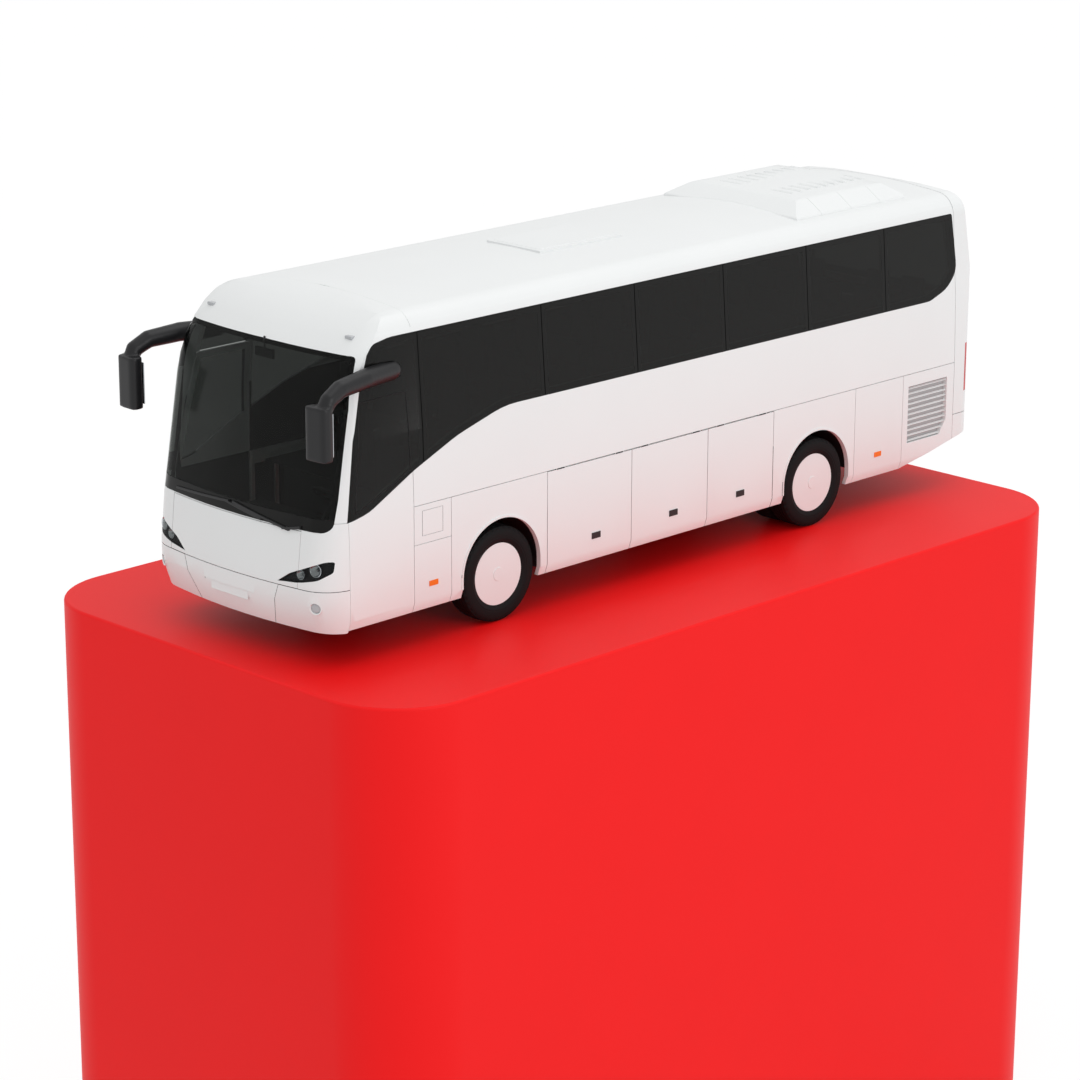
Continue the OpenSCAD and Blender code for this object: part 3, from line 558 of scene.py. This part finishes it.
# %% Dress every CAD node
SIDES = ("left", "right")
flaps = [f"luggage_flap_{side}_{i}" for side in SIDES for i in (1, 2, 3)]
painted = ["front_cap", "front_bumper", "scuttle_panel", "roof", "side_wall_left", "side_wall_right",
           "skirt_panels_left", "skirt_panels_right", "rear_cap", "rear_bumper", "passenger_door", *flaps,
           "engine_lid"]
wheels = [f"wheel_front_{side}" for side in SIDES] + [f"wheels_rear_{side}" for side in SIDES]
finishes = {
    white_enamel: painted + ["side_frame", "engine_grilles", "roof_air_unit", *wheels],
    red_laminate: ["plinth"],
    side_tint: ["side_glass_left", "side_glass_right", "rear_window", "door_glass"],
    screen_tint: ["windscreen"],
    black_abs: ["wipers", "wheel_housings", "dashboard"],
    frame_coat: ["chassis_frame"],
    cast_steel: ["front_axle", "rear_axle", "knuckle_left", "knuckle_right", "track_rod", "engine"],
    floor_vinyl: ["passenger_floor", "cab_floor_steps", "luggage_floor"],
    orange_lens: ["side_markers"],
    red_lens: ["tail_lamps"],
    lamp_housing: ["headlamps"],
}
# The bevel of a sheet panel's edge; board and moulded plastic are rounder, and glass keeps its cut edge.
PANEL_ROUND = (0.0025, 2)
rounds = {"plinth": (0.03, 4), "roof_air_unit": (0.03, 4), **{name: (0, 2) for name in GLASS}}
pieces = {}
for material, names in finishes.items():
    for name in names:
        pieces[name] = dress(name, *rounds.get(name, PANEL_ROUND))
        if name not in painted:
            pieces[name].data.materials.clear()
            pieces[name].data.materials.append(material)
for name in painted:
    line_inside(pieces[name], white_enamel, black_primer, cabin_trim)
print("dressed:", len(pieces))

# %% [markdown]
# ## Tyres
# A tyre is a turned shape: a bead, a bulging sidewall with a moulded ring, a rounded shoulder and a ribbed
# tread. Its half-profile is drawn once and spun about the axle; then every other block of the shoulder is
# sunk, which gives the tread its sipes.

# %% Turned shapes
SEAM_MERGE = 0.00005


def turned(name, profile, centre, axis, steps, material, body, degrees=30):
    """Spins a profile of (along the axis, radius) pairs about an axis."""
    axis = axis.normalized()
    side = axis.orthogonal().normalized()
    mesh = bpy.data.meshes.new(name)
    mesh.from_pydata([centre + axis * a + side * r for a, r in profile],
                     [(i, i + 1) for i in range(len(profile) - 1)], [])
    piece = bpy.data.objects.new(name, mesh)
    bpy.context.collection.objects.link(piece)
    pick(piece)
    bpy.ops.object.mode_set(mode="EDIT")
    bpy.ops.mesh.select_all(action="SELECT")
    bpy.ops.mesh.spin(steps=steps, angle=2 * math.pi, center=centre, axis=axis)
    bpy.ops.mesh.select_all(action="SELECT")
    bpy.ops.mesh.remove_doubles(threshold=SEAM_MERGE)
    bpy.ops.mesh.normals_make_consistent(inside=False)
    bpy.ops.object.mode_set(mode="OBJECT")
    piece.data.materials.append(material)
    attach(piece, body)
    smooth(piece, degrees)
    return piece


# %% [markdown]
# The rear axle has twin wheels, so its tyres stand in pairs: one against the outer face of the pair, one
# against the inner face. The blocks of the shoulder alternate, one sunk and one not, all the way round.

# %% Tyres
STEPS = 80
TREAD_FLANK, TREAD_DEEP, SIPE_INSET, SIPE_DEPTH = (0.098, 0.118), 0.03, 0.004, 0.005
TYRE_HALF = 0.131


def tyre(name, centre, body):
    r = tyre_radius
    half = [(0.097, 0.286), (0.104, 0.300), (0.117, 0.322), (0.1285, 0.352), (0.1275, 0.356), (0.1275, 0.364),
            (0.1305, 0.368), (0.1308, 0.395), (0.129, 0.425), (0.121, 0.448), (0.1095, r - 0.006),
            (0.094, r - 0.0015), (0.062, r), (0.060, r - 0.012), (0.052, r - 0.012), (0.050, r),
            (0.020, r), (0.018, r - 0.012), (0.010, r - 0.012), (0.008, r)]
    profile = [(-a, b) for a, b in half] + [(a, b) for a, b in reversed(half)]
    profile.append(profile[0])
    piece = turned(name, profile, centre, X, STEPS, tyre_rubber, body)
    clear_faces(piece)
    for polygon in piece.data.polygons:
        spoke = polygon.center - centre
        turn = math.atan2(spoke.z, spoke.y) / (2 * math.pi) * STEPS
        polygon.select = (round(turn - 0.5) % 2 == 0 and between(abs(spoke.x), *TREAD_FLANK)
                          and math.hypot(spoke.y, spoke.z) > r - TREAD_DEEP)
    inset_chosen(SIPE_INSET, -SIPE_DEPTH, each=True)
    return piece


for node in ("tyre_front_left", "tyre_front_right", "tyres_rear_left", "tyres_rear_right"):
    body = node.replace("tyre", "wheel")
    low, high = box(node)
    middle = (low + high) / 2
    outward = math.copysign(1, middle.x)
    places_x = [max(abs(low.x), abs(high.x)) - TYRE_HALF]
    if node.startswith("tyres"):
        places_x.append(min(abs(low.x), abs(high.x)) + TYRE_HALF)
    made = [tyre(f"{node}_rubber_{i + 1}", Vector((outward * x, middle.y, middle.z)), body)
            for i, x in enumerate(places_x)]
    for piece in made:
        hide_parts(node)
    print(node, "tyres", len(made), "faces", len(made[0].data.polygons))

# %% [markdown]
# ## Mirrors
# The mirror heads hang from thick moulded arms. The CAD arms are a chain of cones and balls, so a voxel
# remesh melts them into one skin and a few rounds of smoothing give the soft run of a moulding from arm
# into head.

# %% Mirrors
mirrors = merged_copy("mirrors")
pick(mirrors)
remesh = mirrors.modifiers.new("one_skin", "REMESH")
remesh.mode = "VOXEL"
remesh.voxel_size = 0.013
soft = mirrors.modifiers.new("moulded_run", "SMOOTH")
soft.factor = 0.5
soft.iterations = 10
apply_modifiers(mirrors)
smooth(mirrors, 60)
mirrors.data.materials.clear()
mirrors.data.materials.append(dark_abs)
print("mirror faces", len(mirrors.data.polygons))

# %% [markdown]
# Plates, handles, hatches and the mirrors' glass are all boxes with rounded edges. One function makes them,
# and can sink or raise a field inside one face, as pressed plates and recessed handles have.

# %% Slabs and the mirror glass
ROOT = "coach_and_plinth"
FACING = 0.9


def slab(name, low, high, material, body, width, segments=3, inset=None):
    """A box with rounded edges between two corners, and a sunk or raised face where inset says so."""
    piece = cube_between(Vector(low), Vector(high))
    piece.name = name
    if inset:
        direction, margin, depth = inset
        clear_faces(piece)
        for polygon in piece.data.polygons:
            polygon.select = polygon.normal.dot(direction) > FACING
        inset_chosen(margin, 0.0)
        inset_chosen(0.0, depth)
    piece.data.materials.append(material)
    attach(piece, body)
    return soften(piece, width, segments)


# The two sides of the coach, as a sign and a word, in the order in which pairs are made.
PAIR = ((-1, "right"), (1, "left"))
for side, word in PAIR:
    near, far = sorted((side * (half_width + 0.172), side * (half_width - 0.052)))
    slab(f"mirror_glass_{word}", at(near, -2.272, 2.10), at(far, -2.262, 2.50), chromed, ROOT, 0.004)
print("mirror glass set")

# %% [markdown]
# ## Glass edges
# Each bonded pane carries a black fired print round its edge, which hides the adhesive. On the side band it
# shows as a darker strip at every joint, and on the windscreen as a deep strip along the foot. The strips
# are cut into the pane and take the printed material; nothing stands proud.

# %% Printed edges of the panes
def printed(name, cuts):
    piece = pieces[name]
    piece.data.materials.append(ceramic_print)
    for point, normal, width in cuts:
        slice_band(piece, point, normal, width)
        for polygon in piece.data.polygons:
            if abs((polygon.center - point).dot(normal)) < width / 2:
                polygon.material_index = 1
    smooth(piece, 30)
    print("print on", name, "faces", sum(p.material_index for p in piece.data.polygons))


# The joints between the side panes, behind the front axle, and the width of the print over each.
JOINTS_Y, JOINT_PRINT = (-1.0, 0.6, 1.88, 3.16, 4.42, 5.66), 0.1
for side in SIDES:
    printed(f"side_glass_{side}",
            [(at(0, y, 0), Y, JOINT_PRINT) for y in JOINTS_Y] + [(at(0, 0, 2.975), Z, 0.07)])
printed("windscreen", [(at(0, 0, 1.34), Z, 0.16)])
printed("rear_window", [(at(0, 0, 2.85), Z, 0.08), (at(0, 0, 2.06), Z, 0.08)])

# %% [markdown]
# The driver's window is a sliding pane in a rubber frame. The skin is curved there, so the frame can't be
# drawn flat: its sides are looked at from outside, step by step, and the rubber profile runs through the
# places that are hit.

# %% The rubber frame of the driver's window
skin_tree = tree_of([name for name in nodes if name not in OUTSIDE])
BEFORE, SINK, STEP = 3, 0.4, 0.06


def on_skin(start_at, direction):
    """The first place on the skin along a direction, and the way the skin looks there."""
    return skin_tree.ray_cast(start_at, direction)[:2]


def laid(name, corners, direction, radius, material):
    """A closed, round rubber profile that follows the skin between its corners."""
    route = []
    for a, b in zip(corners, corners[1:] + corners[:1]):
        count = max(1, round((b - a).length / STEP))
        for i in range(count):
            hit = on_skin(a.lerp(b, i / count) - direction * BEFORE, direction)[0]
            route.append(hit + direction * radius * SINK)
    curve = bpy.data.curves.new(name, "CURVE")
    curve.dimensions = "3D"
    curve.bevel_depth = radius
    curve.bevel_resolution = 2
    spline = curve.splines.new("POLY")
    spline.points.add(len(route) - 1)
    for point, place in zip(spline.points, route):
        point.co = (*place, 1)
    spline.use_cyclic_u = True
    piece = bpy.data.objects.new(name, curve)
    bpy.context.collection.objects.link(piece)
    pick(piece)
    bpy.ops.object.convert(target="MESH")
    piece = bpy.context.object
    piece.data.materials.append(material)
    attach(piece, ROOT)
    smooth(piece, 60)
    return piece


frame_corners = [(-1.768, 2.468), (-1.184, 2.475), (-1.165, 1.735), (-1.86, 1.455)]
window_frame = laid("driver_window_frame", [at(half_width, y, z) for y, z in frame_corners], -X, 0.006,
                    window_rubber)
print("driver's window frame faces", len(window_frame.data.polygons))

# %% [markdown]
# ## Lamps
# A headlamp is a clear cover over a black housing with two bright bowls. The cover is the outer face of the
# CAD lamp, made see-through; the bowls are turned and set behind it. A bowl's axis leans from the skin's
# own direction towards straight ahead, as a lamp that lights the road has to.

# %% Headlamps
AHEAD, BEHIND, ABOVE = -6, 12, 6
COVER_FACING, FORWARD = 0.6, Vector((0, -0.7, 0))
# Each bowl: how far in from the side, its height and its radius.
BOWLS = ((0.19, 0.945, 0.058), (0.345, 0.885, 0.043))
bulb = [(-0.033, 0.0), (-0.033, 0.011), (-0.022, 0.013), (-0.013, 0.009), (-0.011, 0.0)]
headlamps = pieces["headlamps"]
headlamps.data.materials.append(lamp_cover)
for polygon in headlamps.data.polygons:
    away = Vector((math.copysign(0.5, polygon.center.x), -1, 0)).normalized()
    if polygon.normal.dot(away) > COVER_FACING:
        polygon.material_index = 1
for side, word in PAIR:
    for i, (inset, height, radius) in enumerate(BOWLS):
        hit, normal = on_skin(at(side * (half_width - inset), AHEAD, height), Y)
        axis = (normal + FORWARD).normalized()
        bowl = [(-0.034, 0.0), (-0.033, radius * 0.3), (-0.027, radius * 0.62), (-0.014, radius * 0.9),
                (-0.006, radius), (-0.006, radius + 0.005), (-0.030, radius + 0.004)]
        turned(f"headlamp_bowl_{word}_{i + 1}", bowl, hit, axis, 40, chromed, ROOT, 50)
        turned(f"headlamp_bulb_{word}_{i + 1}", bulb, hit, axis, 24, pale_lens, ROOT, 50)
print("headlamp bowls", len(PAIR) * len(BOWLS))

# %% [markdown]
# A fog lamp is a lens in a round bezel, sunk in the bumper's curved corner. Its centre and its direction
# are the means of two looks at the bumper, one on each side of the lamp, so the bezel sits evenly in the
# curve. The small lamps on the brow of the roof are rounded slabs.

# %% Fog lamps and brow lamps
FOG_IN, FOG_Z = 0.185, 0.59
BROW_LAMP = Vector((0.045, 0.028, 0.012))
ring = [(-0.030, 0.047), (0.001, 0.050), (0.004, 0.055), (0.004, 0.062), (-0.004, 0.066), (-0.02, 0.062)]
lens = [(-0.03, 0.0), (-0.03, 0.0465), (-0.006, 0.0465), (-0.002, 0.040), (0.001, 0.02), (0.002, 0.0)]
for side, word in PAIR:
    hit, normal = on_skin(at(side * (half_width - FOG_IN + 0.062), AHEAD, FOG_Z), Y)
    spot, slope = on_skin(at(side * (half_width - FOG_IN - 0.06), AHEAD, FOG_Z), Y)
    centre = Vector((side * (half_width - FOG_IN), (hit.y + spot.y) / 2, hit.z))
    axis = Vector((slope.x + normal.x, slope.y + normal.y, 0)).normalized()
    turned(f"fog_lamp_ring_{word}", ring, centre, axis, 48, white_enamel, ROOT, 50)
    turned(f"fog_lamp_lens_{word}", lens, centre, axis, 40, pale_lens, ROOT, 50)
    base = on_skin(at(side * 0.965, -1.625, ABOVE), -Z)[0]
    slab(f"brow_lamp_{word}", base - Vector((BROW_LAMP.x, BROW_LAMP.y, 0.02)), base + BROW_LAMP, pale_lens,
         ROOT, 0.008)
    print(word, "fog lamp at", [round(v, 3) for v in centre])

# %% [markdown]
# ## Body details
# The number-plate panels are plain and blank, the lid and the door have sunk handles, and the roof has an
# escape hatch. They are slabs with an inset face and rounded edges, each placed against the skin by a look
# at it. The driver's inner mirror hangs from a short stem just behind the windscreen.

# %% Plates, handles, hatch and the driver's inner mirror
PLATE_HALF, PLATE_FIELD = 0.26, (0.006, -0.0015)
skin_y = on_skin(at(0, AHEAD, 0.55), Y)[0].y
slab("front_plate", (-PLATE_HALF, skin_y - 0.004, ground + 0.512),
     (PLATE_HALF, skin_y + 0.006, ground + 0.596), white_enamel, ROOT, 0.003, inset=(-Y, *PLATE_FIELD))
skin_y = on_skin(at(0, BEHIND, 1.09), -Y)[0].y
slab("rear_plate", (-PLATE_HALF, skin_y - 0.015, ground + 1.03),
     (PLATE_HALF, skin_y + 0.009, ground + 1.15), pale_lens, "engine_lid", 0.003, inset=(Y, *PLATE_FIELD))
skin_y = on_skin(at(0, BEHIND, 0.9), -Y)[0].y
slab("lid_handle", (-0.12, skin_y - 0.015, ground + 0.88), (0.12, skin_y + 0.008, ground + 0.925),
     black_abs, "engine_lid", 0.004, inset=(Y, 0.008, -0.006))
hit = on_skin(at(-3, -1.09, 1.12), X)[0]
slab("door_handle", (hit.x - 0.004, hit.y - 0.055, ground + 1.08),
     (hit.x + 0.02, hit.y + 0.055, ground + 1.15), black_abs, "door", 0.003, inset=(-X, 0.01, -0.006))
slab("roof_hatch", at(-0.37, 1.4, 3.2), at(0.37, 2.55, 3.263), white_enamel, ROOT, 0.012,
     inset=(Z, 0.05, 0.004))
pane_y = on_skin(at(0.03, -0.5, 2.76), -Y)[0].y
slab("cab_mirror", (-0.1, pane_y + 0.06, ground + 2.70), (0.16, pane_y + 0.085, ground + 2.79), dark_abs,
     ROOT, 0.01)
slab("cab_mirror_stem", (0.02, pane_y + 0.066, ground + 2.78), (0.04, pane_y + 0.08, ground + 2.9), dark_abs,
     ROOT, 0.004)
print("plates, handles and hatch set; inner mirror behind the pane at", round(pane_y, 3))

# %% [markdown]
# The roof unit has two rows of small air slats on its top plate. One slat is modelled and copied along the
# row, and all are joined into one piece.

# %% Roof unit slats
ROW_X, SLATS, FIRST_SLAT, SLAT_PITCH = 0.36, 9, 0.42, 0.14
SLAT = Vector((0.14, 0.022, 0.004))
unit_front = box("roof_air_unit")[0].y
unit_tree = tree_of(["roof_air_unit"])
tops = [unit_tree.ray_cast(Vector((x, unit_front + FIRST_SLAT + SLAT_PITCH * i, 20)), -Z)[0]
        for x in (-ROW_X, ROW_X) for i in range(SLATS)]
slats = [slab("unit_slat", tops[0] - Vector((SLAT.x, SLAT.y, 0.01)), tops[0] + SLAT, white_enamel, ROOT,
              0.003, 2, inset=(Z, 0.006, -0.006))]
slats += [copied(slats[0], "unit_slat", top - tops[0]) for top in tops[1:]]
pick(*reversed(slats))
bpy.ops.object.join()
bpy.context.object.name = "roof_unit_slats"
print("slats", len(slats))

# %% [markdown]
# The latches of the luggage flaps are black plastic, and the mesh behind the blades of the engine's intake
# is coated grey. Both are faces of a CAD node already, so they are found by their place and take a material
# of their own.

# %% Latches and intake mesh
LATCH_Z, PROUD = (0.565, 0.637), 0.0005
MESH_IN = 0.0445
for name in flaps:
    mesh = pieces[name].data
    mesh.materials.append(black_abs)
    for polygon in mesh.polygons:
        if between(polygon.center.z - ground, *LATCH_Z) and abs(polygon.center.x) > half_width + PROUD:
            polygon.material_index = len(mesh.materials) - 1
louvres = pieces["engine_grilles"]
louvres.data.materials.append(intake_grey)
for polygon in louvres.data.polygons:
    if abs(polygon.center.x) < half_width - MESH_IN:
        polygon.material_index = 1
print("latches painted on", len(flaps), "flaps")

# %% [markdown]
# ## Seats
# A coach seat is a deep foam cushion and a tall back under woven moquette. Both are crowned closed forms: a
# box is divided, its middle is pushed out and its sides pulled in, and subdivision makes the foam round.
# One seat is modelled and copied to every place; plain pedestals carry them.

# %% Seat pads
DRAWN_IN = 0.05
CUSHION_CROWN, BACK_CROWN, HEAD_IN = 0.45, 0.4, 0.07


def pad(low, high, crown, up_axis):
    """A crowned cushion between two corners: full in the middle, thin and drawn in at its edges."""
    low, high = Vector(low), Vector(high)
    piece = cube_between(low, high)
    bpy.ops.object.mode_set(mode="EDIT")
    bpy.ops.mesh.select_all(action="SELECT")
    bpy.ops.mesh.subdivide(number_cuts=4)
    bpy.ops.object.mode_set(mode="OBJECT")
    middle, reach = (low + high) / 2, (high - low) / 2
    flat = [i for i in range(3) if i != up_axis]
    for vertex in piece.data.vertices:
        away = vertex.co - middle
        share = [away[i] / reach[i] for i in range(3)]
        rim = max(abs(share[i]) for i in flat)
        vertex.co[up_axis] = middle[up_axis] + away[up_axis] * (1 - crown * rim ** 3)
        for i, other in (flat, flat[::-1]):
            vertex.co[i] = middle[i] + away[i] * (1 - DRAWN_IN * (1 - share[other] ** 2))
    foam = piece.modifiers.new("foam", "SUBSURF")
    foam.levels = foam.render_levels = 1
    apply_modifiers(piece)
    smooth(piece, 80)
    return piece


def seat(name, x, y, z, width, depth, thick, top):
    """Cushion, back and headrest of one seat, from its near lower corner and its sizes."""
    right_x, rear_y = x + width, y + depth
    cushion = pad((x, y, z), (right_x, rear_y, z + thick), CUSHION_CROWN, 2)
    back = pad((x, rear_y - 0.004, z + 0.02), (right_x, rear_y + 0.096, top - 0.2), BACK_CROWN, 1)
    head = pad((x + HEAD_IN, rear_y + 0.004, top - 0.225), (right_x - HEAD_IN, rear_y + 0.09, top),
               BACK_CROWN, 1)
    pick(back, head, cushion)
    bpy.ops.object.join()
    piece = bpy.context.object
    piece.name = name
    piece.data.materials.append(seat_moquette)
    return piece


# %% [markdown]
# A coach of this length seats four abreast in nine rows behind the cab, and the driver. The places are those
# of the CAD seats; every passenger seat is a copy of the first, moved.

# %% Seats and their pedestals
FIRST_ROW, ROWS, PITCH, CUSHION_Z = -0.350, 9, 0.79, 1.64
columns = [0.110 - half_width, 0.590 - half_width, half_width - 1.030, half_width - 0.550]
seat_places = [at(x, FIRST_ROW + PITCH * row, CUSHION_Z) for row in range(ROWS) for x in columns]
made = [seat("passenger_seat_1", *seat_places[0], 0.44, 0.46, 0.1, ground + 2.32)]
for place in seat_places[1:]:
    made.append(copied(made[0], f"passenger_seat_{len(made) + 1}", place - seat_places[0]))
driver = seat("driver_seat", *at(half_width - 0.83, -1.31, 1.24), 0.42, 0.43, 0.09, ground + 2.02)
for piece in made + [driver]:
    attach(piece, ROOT)
    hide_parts("seats")
print("seats", len(made) + 1, "faces each", len(driver.data.polygons))

PEDESTAL_IN, PEDESTAL_Z, PEDESTAL = 0.18, 1.294, Vector((0.08, 0.08, 0.352))
for i, place in enumerate(seat_places):
    low = Vector((place.x + PEDESTAL_IN, place.y + PEDESTAL_IN, ground + PEDESTAL_Z))
    slab(f"seat_pedestal_{i + 1}", low, low + PEDESTAL, frame_coat, ROOT, 0.008, 2)
slab("driver_pedestal", at(half_width - 0.71, -1.18, 0.904), at(half_width - 0.53, -1.0, 1.245), frame_coat,
     ROOT, 0.01, 2)

# %% [markdown]
# ## Camera
# The camera looks at the coach from its left front corner, well back and through a long lens, so that the
# long side hardly narrows. Its directions are built as three vectors, which are the columns of its matrix.
# The focal length was worked out from the photograph in picture widths, and the sensor's width turns it
# into millimetres.

# %% Camera
AZIMUTH, ELEVATION, ROLL, DISTANCE = math.radians(44.884), math.radians(16.747), math.radians(0.175), 35.35
SENSOR, FOCAL_WIDTHS = 36, 3492.1 / 1080
back = Vector((math.sin(AZIMUTH) * math.cos(ELEVATION), -math.cos(AZIMUTH) * math.cos(ELEVATION),
               math.sin(ELEVATION)))
level = Vector((math.cos(AZIMUTH), math.sin(AZIMUTH), 0))
upright = back.cross(level)
right = level * math.cos(ROLL) + upright * math.sin(ROLL)
up = upright * math.cos(ROLL) - level * math.sin(ROLL)
aim = Vector((0, front_axle.y + 1.785, ground + 0.17))
camera_data = bpy.data.cameras.new("camera")
camera_data.sensor_width = SENSOR
camera_data.lens = SENSOR * FOCAL_WIDTHS
camera_data.clip_end = 500
camera = bpy.data.objects.new("camera", camera_data)
turn = Matrix((right, up, back)).transposed().to_4x4()
camera.matrix_world = Matrix.Translation(aim + back * DISTANCE) @ turn
bpy.context.collection.objects.link(camera)
bpy.context.scene.camera = camera
print("lens", round(camera_data.lens, 1), "mm, aimed at", [round(v, 3) for v in aim])

# %% [markdown]
# ## Studio
# The background of the photograph is a white sweep with no edge to be seen. A floor with no horizon would
# need a curved board; a huge plane is simpler. Straight looks at it, and mirror images of it, show mostly
# an even white glow, so it melts into the sky, while the light that bounces off it stays that of a white
# floor.

# %% Floor
FLOOR_SIZE, FLOOR_GLOW, GLOW_SHARE = 400, 1.06, 0.85
bpy.ops.object.select_all(action="DESELECT")
bpy.ops.mesh.primitive_plane_add(size=FLOOR_SIZE, location=(0, 0, 0))
floor = bpy.context.object
floor.name = "studio_floor"
floor_material, tree, place = start("studio_floor_white")
drift = add(tree, "ShaderNodeTexNoise", {"Vector": place, "Scale": 0.05})
tone = add(tree, "ShaderNodeMapRange", {"Value": drift.outputs["Fac"], "To Min": 0.8, "To Max": 0.82})
diffuse = add(tree, "ShaderNodeBsdfDiffuse", {"Color": tone.outputs["Result"]})
glow = add(tree, "ShaderNodeEmission", {"Color": (1, 1, 1, 1), "Strength": FLOOR_GLOW})
path = add(tree, "ShaderNodeLightPath")
seen = add(tree, "ShaderNodeMath", {0: path.outputs["Is Camera Ray"], 1: path.outputs["Is Glossy Ray"]},
           operation="MAXIMUM")
share = add(tree, "ShaderNodeMath", {0: seen.outputs[0], 1: GLOW_SHARE}, operation="MULTIPLY")
mix = add(tree, "ShaderNodeMixShader", {0: share.outputs[0], 1: diffuse.outputs["BSDF"],
                                        2: glow.outputs["Emission"]})
finish(tree, mix.outputs["Shader"])
floor.data.materials.append(floor_material)
print("floor laid")

# %% [markdown]
# The sky is white too. It lights the coach from all sides, a little more weakly than it looks to the
# camera, and two large lamps, one overhead and one beside the coach's left, give the roof and the front
# their soft difference in tone.

# %% World and lamps
LIT, LOOK = 0.84, 1.0
world = bpy.data.worlds.new("studio_world")
bpy.context.scene.world = world
world.use_nodes = True
tree = world.node_tree
tree.nodes.clear()
path = add(tree, "ShaderNodeLightPath")
seen = add(tree, "ShaderNodeMath", {0: path.outputs["Is Camera Ray"], 1: path.outputs["Is Transmission Ray"]},
           operation="MAXIMUM")
strength = add(tree, "ShaderNodeMapRange", {"Value": seen.outputs[0], "To Min": LIT, "To Max": LOOK})
sky = add(tree, "ShaderNodeBackground", {"Color": (1, 1, 1, 1), "Strength": strength.outputs["Result"]})
add(tree, "ShaderNodeOutputWorld", {"Surface": sky.outputs["Background"]})


def lamp(name, place, target, size, watts):
    data = bpy.data.lights.new(name, "AREA")
    data.shape = "SQUARE"
    data.size = size
    data.energy = watts
    item = bpy.data.objects.new(name, data)
    item.location = place
    item.rotation_euler = (Vector(place) - Vector(target)).to_track_quat("Z", "Y").to_euler()
    bpy.context.collection.objects.link(item)
    print(name, watts, "W")


lamp("overhead_softbox", (3, 4, ground + 22), (0, 0, ground), 16, 900)
lamp("right_softbox", (26, -2, ground + 8), (0, 0, ground), 12, 1300)
bpy.context.scene.view_settings.view_transform = "Standard"
